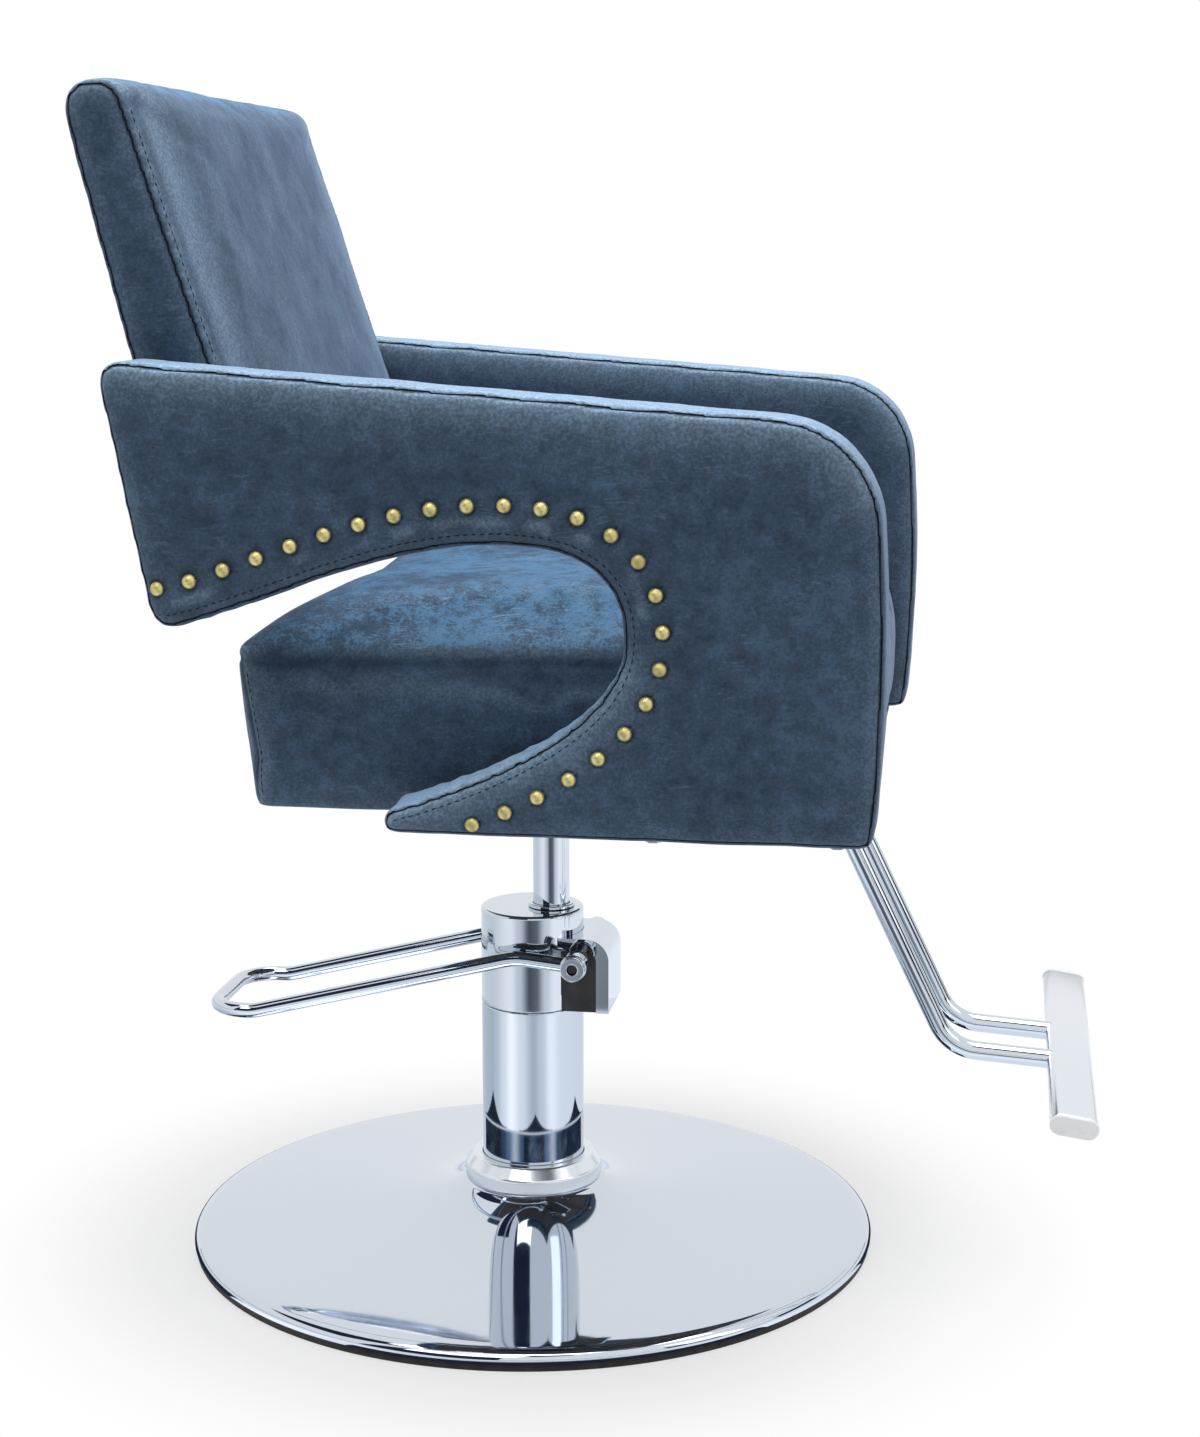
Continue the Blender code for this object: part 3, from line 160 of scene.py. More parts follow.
class Effects:
    """Shader node groups that more than one finish uses, each built once."""

    def __init__(self) -> None:
        """Start with no group built."""
        self.built: dict[str, Tree] = {}

    def group(self, name: str, outputs: Sequence[str], fill: Callable) -> Tree:
        """Return a group by name, building it on first use.

        Args:
            name: The group's name.
            outputs: Names of number outputs.
            fill: Called with the canvas, the coordinates and the output node's sockets.

        Returns:
            The node group.
        """
        if name not in self.built:
            tree = bpy.data.node_groups.new(name, "ShaderNodeTree")
            tree.interface.new_socket("Vector", in_out="INPUT", socket_type="NodeSocketVector")
            for label in outputs:
                tree.interface.new_socket(label, in_out="OUTPUT", socket_type="NodeSocketFloat")
            canvas = Canvas(tree)
            where = canvas.add("NodeGroupInput").outputs["Vector"]
            fill(canvas, where, canvas.add("NodeGroupOutput").inputs)
            self.built[name] = tree
        return self.built[name]

    @staticmethod
    def place(canvas: Canvas, tree: Tree, where: Socket) -> Node:
        """Place a group in a material."""
        node = canvas.add("ShaderNodeGroup", node_tree=tree)
        canvas.feed(node.inputs["Vector"], where)
        return node

    def mottle(self) -> Tree:
        """Return the cloudy patches of aged hide, broad and small."""

        def fill(canvas: Canvas, where: Socket, sink: bpy.types.NodeInputs) -> None:
            broad = canvas.cloud(where, 8.0, 3.0, 0.5)
            small = canvas.cloud(where, 62.0, 6.0, 0.65)
            speck = canvas.cloud(where, 420.0, 3.0, 0.6)
            mixed = canvas.math("MULTIPLY", broad, 0.27)
            mixed = canvas.math("ADD", mixed, canvas.math("MULTIPLY", small, 0.45))
            mixed = canvas.math("ADD", mixed, canvas.math("MULTIPLY", speck, 0.28))
            canvas.feed(sink["Patches"], canvas.span(mixed, 0.37, 0.63))
            canvas.feed(sink["Speck"], canvas.span(speck, 0.35, 0.70))
            flecks: object = 0.0
            for stretch in ((380.0, 380.0, 105.0), (105.0, 380.0, 380.0), (260.0, 105.0, 260.0)):
                mapping = canvas.add("ShaderNodeMapping", {"Vector": where, "Scale": stretch})
                stroke = canvas.span(canvas.cloud(mapping.outputs[0], 1.0, 3.0, 0.6), 0.57, 0.74)
                flecks = canvas.math("MAXIMUM", flecks, stroke)
            canvas.feed(sink["Flecks"], flecks)

        return self.group("aged_mottle", ("Patches", "Speck", "Flecks"), fill)

    def scratches(self) -> Tree:
        """Return fine rubbed lines that cross in four directions."""

        def fill(canvas: Canvas, where: Socket, sink: bpy.types.NodeInputs) -> None:
            wobble = canvas.add("ShaderNodeTexNoise", {"Vector": where, "Scale": 16.0, "Detail": 2.0})
            bent = canvas.add("ShaderNodeVectorMath", {0: wobble.outputs["Color"]}, operation="SCALE")
            bent.inputs["Scale"].default_value = 0.030
            moved = canvas.add("ShaderNodeVectorMath", {0: where, 1: bent.outputs[0]}, operation="ADD")
            total: object = 0.0
            for turn in ((0.3, 0.5, 0.9), (1.2, -0.4, 2.1), (-0.7, 0.9, -0.5), (0.1, 1.3, 0.2)):
                mapping = canvas.add("ShaderNodeMapping", {"Vector": moved.outputs[0], "Rotation": turn})
                mapping.inputs["Scale"].default_value = (28.0, 460.0, 460.0)
                line = canvas.cloud(mapping.outputs[0], 1.0, 2.0, 0.5)
                total = canvas.math("MAXIMUM", total, canvas.span(line, 0.63, 0.73))
            gate = canvas.span(canvas.cloud(where, 26.0, 4.0), 0.42, 0.64)
            canvas.feed(sink["Lines"], canvas.math("MULTIPLY", total, gate))

        return self.group("rubbed_lines", ("Lines",), fill)

    def nap(self) -> Tree:
        """Return the height of a short nap over a pebbled grain."""

        def fill(canvas: Canvas, where: Socket, sink: bpy.types.NodeInputs) -> None:
            fibre = canvas.cloud(where, 1400.0, 2.0, 0.6)
            cells = {"Vector": where, "Scale": 330.0}
            pebble = canvas.add("ShaderNodeTexVoronoi", cells, feature="SMOOTH_F1")
            soft = canvas.cloud(where, 120.0, 4.0, 0.6)
            height = canvas.math("MULTIPLY", fibre, 0.35)
            height = canvas.math("ADD", height, canvas.math("MULTIPLY", pebble.outputs["Distance"], 0.45))
            height = canvas.math("ADD", height, canvas.math("MULTIPLY", soft, 0.60))
            swell = canvas.cloud(where, 40.0, 3.0, 0.5)
            height = canvas.math("ADD", height, canvas.math("MULTIPLY", swell, 2.4))
            canvas.feed(sink["Height"], height)

        return self.group("short_nap", ("Height",), fill)

    def handling(self) -> Tree:
        """Return faint smears and hairlines on polished metal."""

        def fill(canvas: Canvas, where: Socket, sink: bpy.types.NodeInputs) -> None:
            smear = canvas.span(canvas.cloud(where, 14.0, 5.0, 0.6), 0.42, 0.72)
            mapping = canvas.add("ShaderNodeMapping", {"Vector": where, "Rotation": (0.4, 0.2, 0.7)})
            mapping.inputs["Scale"].default_value = (60.0, 900.0, 900.0)
            hair = canvas.span(canvas.cloud(mapping.outputs[0], 1.0, 2.0), 0.62, 0.75)
            canvas.feed(sink["Smear"], smear)
            canvas.feed(sink["Hairlines"], hair)

        return self.group("handling_marks", ("Smear", "Hairlines"), fill)


EFFECTS = Effects()


@dataclass(frozen=True)
class Finish:
    """A surface finish with its plain values."""

    name: str
    color: Point
    roughness: float
    metallic: float = 0.0

    def start(self) -> tuple[Canvas, Node, Socket, Material]:
        """Make the material and set its plain values.

        Returns:
            The canvas, the shader node, the object coordinates and the material.
        """
        material = bpy.data.materials.new(self.name)
        material.use_nodes = True
        canvas = Canvas(material.node_tree)
        shader = material.node_tree.nodes["Principled BSDF"]
        shader.inputs["Base Color"].default_value = (*self.color, 1.0)
        shader.inputs["Roughness"].default_value = self.roughness
        shader.inputs["Metallic"].default_value = self.metallic
        where = canvas.add("ShaderNodeTexCoord").outputs["Object"]
        return canvas, shader, where, material

    def bump(self, canvas: Canvas, shader: Node, height: object, depth: float, strength: float) -> None:
        """Feed a height to the shader's normal."""
        node = canvas.add("ShaderNodeBump", {"Height": height, "Distance": depth, "Strength": strength})
        canvas.feed(shader.inputs["Normal"], node.outputs["Normal"])

    def material(self) -> Material:
        """Build the finish's material."""
        raise NotImplementedError


@dataclass(frozen=True)
class CoverFinish(Finish):
    """Aged nubuck cover: cloudy colour, rubbed lines, edges pale from wear and painted highlight, painted
    top light, dark seams and painted shadow rings round the nails.
    """

    name: str = "aged_nubuck"
    color: Point = (0.054, 0.092, 0.149)
    roughness: float = 0.58
    deep: Point = (0.026, 0.045, 0.074)
    # Colour of the painted top light on upward faces, and of paler random patches.
    pale: Point = (0.088, 0.222, 0.390)
    # Colour of rubbed nap; the wear marks also use it as painted highlight on curved edges and tops.
    rubbed_and_lit: Point = (0.480, 0.670, 0.880)
    thread: Point = (0.005, 0.009, 0.017)

    def material(self) -> Material:
        """Build the cover's material."""
        canvas, shader, where, material = self.start()
        mottle = EFFECTS.place(canvas, EFFECTS.mottle(), where)
        lines = EFFECTS.place(canvas, EFFECTS.scratches(), where).outputs["Lines"]
        nap = EFFECTS.place(canvas, EFFECTS.nap(), where).outputs["Height"]
        marks = {}
        for name in ("seam", "wear", "fade"):
            marks[name] = canvas.add("ShaderNodeAttribute", attribute_name=name).outputs["Fac"]
        patches = mottle.outputs["Patches"]
        ground = canvas.blend(patches, (*self.deep, 1.0), (*self.color, 1.0))
        # Painted top light: upward faces and the seat's top panel are painted pale, partly as fading.
        lit = canvas.math("MULTIPLY", marks["fade"], canvas.span(patches, 0.15, 0.80, 0.20, 1.0))
        ground = canvas.blend(lit, ground, (*self.pale, 1.0))
        high = canvas.math("MULTIPLY", canvas.span(patches, 0.62, 1.0), 0.09)
        ground = canvas.blend(high, ground, (*self.pale, 1.0))
        flecks = canvas.math("MULTIPLY", mottle.outputs["Flecks"], 0.62)
        ground = canvas.blend(flecks, ground, (*self.deep, 1.0))
        # Rubbed lines show more strongly where the painted top light lies.
        scuffed = canvas.math("ADD", canvas.math("MULTIPLY", marks["fade"], 0.26), 0.06)
        scuffs = canvas.math("MULTIPLY", lines, scuffed)
        ground = canvas.blend(scuffs, ground, (*self.rubbed_and_lit, 1.0))
        # Pale edges and tops: part real wear, part painted highlight.
        speck = canvas.span(mottle.outputs["Speck"], 0.0, 1.0, 0.50, 1.0)
        broken = canvas.math("MULTIPLY", marks["wear"], speck)
        ground = canvas.blend(broken, ground, (*self.rubbed_and_lit, 1.0))
        # Seams darken to the thread colour; round the nails the same mark is a painted shadow ring.
        ground = canvas.blend(canvas.math("MULTIPLY", marks["seam"], 0.92), ground, (*self.thread, 1.0))
        canvas.feed(shader.inputs["Base Color"], ground)
        rough = canvas.math("MULTIPLY", patches, -0.10)
        canvas.feed(shader.inputs["Roughness"], canvas.math("ADD", rough, self.roughness + 0.05))
        shader.inputs["Specular IOR Level"].default_value = 0.10
        shader.inputs["Sheen Weight"].default_value = 0.42
        shader.inputs["Sheen Roughness"].default_value = 0.40
        shader.inputs["Sheen Tint"].default_value = (0.45, 0.63, 0.97, 1.0)
        height = canvas.math("ADD", nap, canvas.math("MULTIPLY", lines, -0.30))
        self.bump(canvas, shader, height, 0.0005, 0.50)
        return material


@dataclass(frozen=True)
class ChromeFinish(Finish):
    """Bright chrome plate with faint smears."""

    name: str = "bright_chrome"
    color: Point = (0.61, 0.66, 0.73)
    roughness: float = 0.035
    metallic: float = 1.0

    def material(self) -> Material:
        """Build the plate's material."""
        canvas, shader, where, material = self.start()
        marks = EFFECTS.place(canvas, EFFECTS.handling(), where)
        rough = canvas.math("MULTIPLY", marks.outputs["Smear"], 0.030)
        rough = canvas.math("ADD", rough, canvas.math("MULTIPLY", marks.outputs["Hairlines"], 0.02))
        canvas.feed(shader.inputs["Roughness"], canvas.math("ADD", rough, self.roughness))
        return material


@dataclass(frozen=True)
class SatinFinish(ChromeFinish):
    """Fine-ground bright metal of the collar and the footrest's bar."""

    name: str = "satin_metal"
    color: Point = (0.74, 0.78, 0.83)
    roughness: float = 0.21


@dataclass(frozen=True)
class SteelFinish(Finish):
    """Plain zinc-bright steel of bolts and inner parts."""

    name: str = "zinc_steel"
    color: Point = (0.50, 0.51, 0.53)
    roughness: float = 0.30
    metallic: float = 1.0

    def material(self) -> Material:
        """Build the steel's material."""
        canvas, shader, where, material = self.start()
        marks = EFFECTS.place(canvas, EFFECTS.handling(), where)
        shade = canvas.cloud(where, 60.0, 5.0)
        dull = (self.color[0] * 0.72, self.color[1] * 0.71, self.color[2] * 0.69, 1.0)
        canvas.feed(shader.inputs["Base Color"], canvas.blend(shade, (*self.color, 1.0), dull))
        rough = canvas.math("MULTIPLY", marks.outputs["Smear"], 0.14)
        canvas.feed(shader.inputs["Roughness"], canvas.math("ADD", rough, self.roughness))
        self.bump(canvas, shader, marks.outputs["Hairlines"], 0.0001, 0.2)
        return material


@dataclass(frozen=True)
class WornFinish(Finish):
    """A finish that dust or wear shades towards a second colour, with its cloud, band and fine skin."""

    worn: Point = (0.0, 0.0, 0.0)
    cloud: Flat = (100.0, 5.0)
    band: Flat | None = None
    rougher: float = 0.0
    skin: Point | None = None
    gloss: float = 0.5

    def material(self) -> Material:
        """Build the finish's material."""
        canvas, shader, where, material = self.start()
        shade = canvas.cloud(where, *self.cloud)
        if self.band:
            shade = canvas.span(shade, *self.band)
        canvas.feed(shader.inputs["Base Color"], canvas.blend(shade, (*self.color, 1.0), (*self.worn, 1.0)))
        rough = canvas.math("MULTIPLY", shade, self.rougher)
        canvas.feed(shader.inputs["Roughness"], canvas.math("ADD", rough, self.roughness))
        shader.inputs["Specular IOR Level"].default_value = self.gloss
        if self.skin:
            scale, depth, strength = self.skin
            self.bump(canvas, shader, canvas.cloud(where, scale, 2.0), depth, strength)
        return material


@dataclass(frozen=True)
class BrassFinish(WornFinish):
    """Aged brass of nail heads and bearings, with darker random spots."""

    name: str = "aged_brass"
    color: Point = (0.72, 0.62, 0.27)
    roughness: float = 0.40
    metallic: float = 0.78
    worn: Point = (0.4464, 0.372, 0.1485)
    cloud: Flat = (70.0, 2.0)
    band: Flat | None = (0.45, 0.80)
    rougher: float = 0.12


@dataclass(frozen=True)
class PaintFinish(WornFinish):
    """Black satin paint with an orange-peel skin."""

    name: str = "black_satin_paint"
    color: Point = (0.014, 0.014, 0.016)
    roughness: float = 0.42
    worn: Point = (0.045, 0.045, 0.047)
    cloud: Flat = (35.0, 6.0)
    band: Flat | None = (0.45, 0.75)
    skin: Point | None = (500.0, 0.0002, 0.3)


@dataclass(frozen=True)
class RubberFinish(WornFinish):
    """Dull black rubber."""

    name: str = "dull_rubber"
    color: Point = (0.012, 0.012, 0.013)
    roughness: float = 0.72
    worn: Point = (0.03, 0.03, 0.031)
    cloud: Flat = (90.0, 5.0)
    band: Flat | None = (0.4, 0.8)
    skin: Point | None = (900.0, 0.0002, 0.4)


@dataclass(frozen=True)
class PlasticFinish(WornFinish):
    """Pale moulded plastic of the footrest's end caps."""

    name: str = "pale_moulding"
    color: Point = (0.88, 0.89, 0.90)
    roughness: float = 0.34
    worn: Point = (0.76, 0.77, 0.79)
    cloud: Flat = (120.0, 5.0)
    band: Flat | None = (0.5, 0.8)
    rougher: float = 0.2
    skin: Point | None = (1600.0, 0.0001, 0.2)


@dataclass(frozen=True)
class ThreadFinish(WornFinish):
    """Waxed sewing thread."""

    name: str = "waxed_thread"
    color: Point = (0.005, 0.009, 0.017)
    roughness: float = 0.85
    worn: Point = (0.010, 0.015, 0.025)
    cloud: Flat = (1500.0, 2.0)
    skin: Point | None = (1500.0, 0.0002, 0.5)
    gloss: float = 0.05


@dataclass(frozen=True)
class BoardFinish(Finish):
    """Dark film-faced plywood with long grain."""

    name: str = "film_faced_plywood"
    color: Point = (0.062, 0.050, 0.042)
    roughness: float = 0.55

    def material(self) -> Material:
        """Build the board's material."""
        canvas, shader, where, material = self.start()
        mapping = canvas.add("ShaderNodeMapping", {"Vector": where})
        mapping.inputs["Scale"].default_value = (6.0, 90.0, 90.0)
        grain = canvas.cloud(mapping.outputs[0], 1.0, 6.0, 0.6)
        dark = (0.030, 0.024, 0.020, 1.0)
        canvas.feed(shader.inputs["Base Color"], canvas.blend(grain, (*self.color, 1.0), dark))
        self.bump(canvas, shader, grain, 0.0004, 0.3)
        return material


class Palette:
    """Every finish of the chair, built once."""

    def __init__(self) -> None:
        """Build the materials."""
        self.cover = CoverFinish().material()
        self.chrome = ChromeFinish().material()
        self.satin = SatinFinish().material()
        self.steel = SteelFinish().material()
        self.brass = BrassFinish().material()
        bronze = BrassFinish("bearing_bronze", (0.46, 0.31, 0.15), 0.35, worn=(0.2852, 0.186, 0.0825))
        self.bearing = bronze.material()
        self.paint = PaintFinish().material()
        self.rubber = RubberFinish().material()
        self.board = BoardFinish().material()
        self.plastic = PlasticFinish().material()
        self.thread = ThreadFinish().material()
        self.by_slot = {
            Slot.COVER: self.cover,
            Slot.CHROME: self.chrome,
            Slot.STEEL: self.steel,
            Slot.PAINT: self.paint,
            Slot.RUBBER: self.rubber,
            Slot.BEARING: self.bearing,
            Slot.BOARD: self.board,
            Slot.PLASTIC: self.plastic,
        }

    def dress_frame(self) -> None:
        """Give every node of the frame the material of its record slot."""
        for entry in frame["record"]["subparts"]:
            mesh = frame["nodes"][entry["node"]].data
            mesh.materials.clear()
            mesh.materials.append(self.by_slot[Slot(entry["material_slot"])])


class Workshop:
    """Small helpers that turn meshes into finished pieces."""

    @staticmethod
    def piece(name: str, bm: Shape, material: Material, sharp: float = 40.0) -> Thing:
        """Turn a bmesh into a smooth-shaded object at the origin.

        Args:
            name: The piece's name.
            bm: Its mesh, freed afterwards.
            material: Its finish.
            sharp: The angle in degrees from which an edge stays sharp.

        Returns:
            The linked object.
        """
        bmesh.ops.recalc_face_normals(bm, faces=bm.faces)
        mesh = bpy.data.meshes.new(name)
        bm.to_mesh(mesh)
        bm.free()
        return Workshop.adopt(name, mesh, material, sharp)

    @staticmethod
    def adopt(name: str, mesh: bpy.types.Mesh, material: Material, sharp: float = 40.0) -> Thing:
        """Make a smooth-shaded object from a mesh."""
        mesh.polygons.foreach_set("use_smooth", [True] * len(mesh.polygons))
        mesh.set_sharp_from_angle(angle=math.radians(sharp))
        mesh.materials.clear()
        mesh.materials.append(material)
        obj = bpy.data.objects.new(name, mesh)
        bpy.context.scene.collection.objects.link(obj)
        return obj

    @staticmethod
    def join_frame(obj: Thing, body: Body, slot: Slot, *nodes: str) -> Thing:
        """Let a piece ride on a body and hide the nodes that it stands for."""
        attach(obj, body.value)
        if nodes:
            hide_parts(*nodes)
        LOG.info("made %s on %s", obj.name, body.value)
        return obj

    @staticmethod
    def mount(
        name: str, bm: Shape, material: Material, body: Body, slot: Slot, *nodes: str, sharp: float = 50.0
    ) -> None:
        """Turn a bmesh into a piece and let it ride on a body."""
        Workshop.join_frame(Workshop.piece(name, bm, material, sharp), body, slot, *nodes)

    @staticmethod
    def box(low: Sequence[float], high: Sequence[float]) -> Shape:
        """Return a box between two corners."""
        bm = bmesh.new()
        bmesh.ops.create_cube(bm, size=1.0)
        bmesh.ops.scale(bm, vec=Vector(high) - Vector(low), verts=bm.verts)
        bmesh.ops.translate(bm, vec=(Vector(low) + Vector(high)) / 2, verts=bm.verts)
        return bm

    @staticmethod
    def spun(profile: Sequence[Flat], axis_at: Flat = (0.0, 0.0), steps: int = 128) -> Shape:
        """Spin a closed ring profile, or one that starts and ends on the axis, round a vertical axis.

        Args:
            profile: Pairs of radius and height.
            axis_at: Where the axis stands, x and y.
            steps: Faces round the turn.

        Returns:
            The spun shell.
        """
        bm = bmesh.new()
        verts = [bm.verts.new((axis_at[0] + radius, axis_at[1], height)) for radius, height in profile]
        pairs = list(zip(verts, verts[1:]))
        if profile[0][0] > 0.0:
            pairs.append((verts[-1], verts[0]))
        edges = [bm.edges.new(pair) for pair in pairs]
        centre = (*axis_at, 0.0)
        bmesh.ops.spin(
            bm, geom=verts + edges, cent=centre, axis=(0, 0, 1), angle=math.tau, steps=steps, use_merge=True
        )
        bmesh.ops.remove_doubles(bm, verts=bm.verts, dist=0.000002)
        return bm

    @staticmethod
    def softened(profile: Sequence[Flat], radius: float, steps: int) -> list[Flat]:
        """Round the corners of a profile that is to be spun.

        Args:
            profile: Pairs of radius and height, a closed ring unless it starts on the axis.
            radius: How far back from a corner its arc starts.
            steps: Faces across an arc.

        Returns:
            The points, with one beside each arc so that the sides shade straight.
        """
        ring = profile[0][0] > 0.0
        count = len(profile)
        points: list[Flat] = []
        for index, corner in enumerate(profile):
            if not ring and index in (0, count - 1):
                points.append(corner)
                continue
            before = Vector(profile[index - 1])
            after = Vector(profile[(index + 1) % count])
            here = Vector(corner)
            room = min((here - before).length, (after - here).length) * 0.45
            reach = min(radius, room)
            start = here + (before - here).normalized() * reach
            end = here + (after - here).normalized() * reach
            beside = min(1.4, room / reach * 1.09)
            points.append(tuple(here.lerp(start, beside)))
            for step in range(steps + 1):
                t = step / steps
                points.append(tuple(start.lerp(here, t).lerp(here.lerp(end, t), t)))
            points.append(tuple(here.lerp(end, beside)))
        return points

    @staticmethod
    def turned(
        section: Sequence[Flat], soft: float, axis_at: Flat = (0.0, 0.0), steps: int = 128, arc: int = 3
    ) -> Shape:
        """Spin a section whose corners are softened."""
        return Workshop.spun(Workshop.softened(section, soft, arc), axis_at, steps)

    @staticmethod
    def disc(radius: float, low: float, high: float) -> list[Flat]:
        """Return the section of a solid disc or rod."""
        return [(0.0, high), (radius, high), (radius, low), (0.0, low)]

    @staticmethod
    def washer(inner: float, outer: float, low: float, high: float) -> list[Flat]:
        """Return the section of a ring or sleeve."""
        return [(inner, low), (outer, low), (outer, high), (inner, high)]

    @staticmethod
    def across(line: Sequence[Flat], levels: Sequence[float]) -> list[list[Point]]:
        """Return a line of x and z at each of some places along Y."""
        return [[(x, y, z) for x, z in line] for y in levels]

    @staticmethod
    def baked(obj: Thing) -> bpy.types.Mesh:
        """Return a piece's mesh with its modifiers applied."""
        graph = bpy.context.evaluated_depsgraph_get()
        return bpy.data.meshes.new_from_object(obj.evaluated_get(graph))

    @staticmethod
    def rounded(bm: Shape, edges: Sequence[bmesh.types.BMEdge], radius: float, segments: int) -> None:
        """Round some edges of a shape."""
        shape = {"offset": radius, "offset_type": "OFFSET", "segments": segments, "profile": 0.5}
        bmesh.ops.bevel(bm, geom=list(edges), affect="EDGES", material=-1, **shape)

    @staticmethod
    def prism(section: Sequence[Flat], low: float, high: float, edge: float, segments: int = 3) -> Shape:
        """Return a prism along Y with rounded end edges.

        Args:
            section: The section's points in x and z.
            low: Where it starts along Y.
            high: Where it ends.
            edge: How far its end edges are rounded.
            segments: Faces across the rounding.

        Returns:
            The closed prism.
        """
        bm = bmesh.new()
        face = bm.faces.new([bm.verts.new((x, low, z)) for x, z in section])
        grown = bmesh.ops.extrude_face_region(bm, geom=[face], use_keep_orig=True)
        moved = [item for item in grown["geom"] if isinstance(item, bmesh.types.BMVert)]
        bmesh.ops.translate(bm, vec=(0, high - low, 0), verts=moved)
        bmesh.ops.recalc_face_normals(bm, faces=bm.faces)
        rims = [item for item in bm.edges if abs(item.verts[0].co.y - item.verts[1].co.y) < 1e-7]
        Workshop.rounded(bm, rims, edge, segments)
        return bm

    @staticmethod
    def carve(obj: Thing, tool: Shape) -> None:
        """Cut a shape out of a piece and keep the result as its mesh.

        Args:
            obj: The piece.
            tool: The shape to cut away, freed afterwards.
        """
        knife = Workshop.piece(obj.name + "_knife", tool, obj.data.materials[0])
        modifier = obj.modifiers.new("carve", "BOOLEAN")
        modifier.operation = "DIFFERENCE"
        modifier.solver = "EXACT"
        modifier.object = knife
        mesh = Workshop.baked(obj)
        obj.modifiers.clear()
        obj.data = mesh
        mesh.set_sharp_from_angle(angle=math.radians(30.0))
        bpy.data.objects.remove(knife)

    @staticmethod
    def repeated(name: str, bm: Shape, places: Sequence[Matrix], material: Material) -> Thing:
        """Repeat one small shape at many places as one piece.

        Args:
            name: The piece's name.
            bm: The small shape, freed afterwards.
            places: Where each copy goes.
            material: Its finish.

        Returns:
            The piece.
        """
        bmesh.ops.recalc_face_normals(bm, faces=bm.faces)
        bm.verts.index_update()
        shape = np.array([(*vert.co, 1.0) for vert in bm.verts])
        faces = [[vert.index for vert in face.verts] for face in bm.faces]
        bm.free()
        spots = [(shape @ np.array(place).T)[:, :3] for place in places]
        loops = []
        for number in range(len(places)):
            loops += [[index + number * len(shape) for index in face] for face in faces]
        mesh = bpy.data.meshes.new(name)
        mesh.from_pydata(np.concatenate(spots).tolist(), [], loops)
        return Workshop.adopt(name, mesh, material, 60.0)

    @staticmethod
    def tube(
        name: str, paths: Lines, radius: float, material: Material, closed: bool = False, sides: int = 8
    ) -> Thing:
        """Make round bars along paths as one piece.

        Args:
            name: The piece's name.
            paths: Points of each centre line.
            radius: The bar's radius.
            material: Its finish.
            closed: Whether each path returns to its start.
            sides: How finely the section is rounded.

        Returns:
            The piece.
        """
        line = bpy.data.curves.new(name, "CURVE")
        line.dimensions = "3D"
        line.bevel_depth = radius
        line.bevel_resolution = sides
        line.use_fill_caps = True
        for path in paths:
            spline = line.splines.new("POLY")
            spline.use_cyclic_u = closed
            spline.points.add(len(path) - 1)
            for point, place in zip(spline.points, path):
                point.co = (*place, 1.0)
        rig = bpy.data.objects.new(name + "_line", line)
        bpy.context.scene.collection.objects.link(rig)
        mesh = Workshop.baked(rig)
        bpy.data.objects.remove(rig)
        bpy.data.curves.remove(line)
        bm = bmesh.new()
        bm.from_mesh(mesh)
        bpy.data.meshes.remove(mesh)
        bmesh.ops.remove_doubles(bm, verts=bm.verts, dist=0.000002)
        return Workshop.piece(name, bm, material)

    @staticmethod
    def corner(before: Flat, here: Flat, after: Flat, radius: float) -> list[Flat]:
        """Return the arc that rounds one corner of a flat line."""
        flat = [(point[0], point[1], 0.0) for point in (before, here, after)]
        return [point[:2] for point in Workshop.bent(flat, [radius])[1:-1]]

    @staticmethod
    def rounded_loop(loop: Sequence[Flat], radii: Sequence[float]) -> list[Flat]:
        """Return the arcs that round the corners of a closed outline."""
        points: list[Flat] = []
        for index, here in enumerate(loop):
            points += Workshop.corner(loop[index - 1], here, loop[(index + 1) % len(loop)], radii[index])
        return points

    @staticmethod
    def bent(corners: Sequence[Point], radii: Sequence[float], step: float = 0.003) -> list[Point]:
        """Return a path along straight runs whose corners are arcs.

        Args:
            corners: The path's corner points.
            radii: One bend radius for each inner corner.
            step: The spacing of points on an arc.

        Returns:
            The path's points.
        """
        path: list[Point] = [tuple(corners[0])]
        for index in range(1, len(corners) - 1):
            here = Vector(corners[index])
            come = (here - Vector(corners[index - 1])).normalized()
            leave = (Vector(corners[index + 1]) - here).normalized()
            angle = come.angle(leave)
            radius = radii[index - 1]
            start = here - come * radius * math.tan(angle / 2)
            middle = here + (leave - come).normalized() * radius / math.cos(angle / 2)
            axis = come.cross(leave).normalized()
            count = max(4, round(radius * angle / step))
            for number in range(count + 1):
                turn = Quaternion(axis, angle * number / count)
                path.append(tuple(middle + turn @ (start - middle)))
        path.append(tuple(corners[-1]))
        return path

    @staticmethod
    def cubic(start: Flat, pull: Flat, push: Flat, end: Flat, steps: int) -> list[Flat]:
        """Return points of a cubic curve, without its last point."""
        points = []
        for step in range(steps):
            t = step / steps
            weights = ((1 - t) ** 3, 3 * t * (1 - t) ** 2, 3 * t * t * (1 - t), t**3)
            corners = (start, pull, push, end)
            points.append(tuple(sum(w * c[axis] for w, c in zip(weights, corners)) for axis in range(2)))
        return points

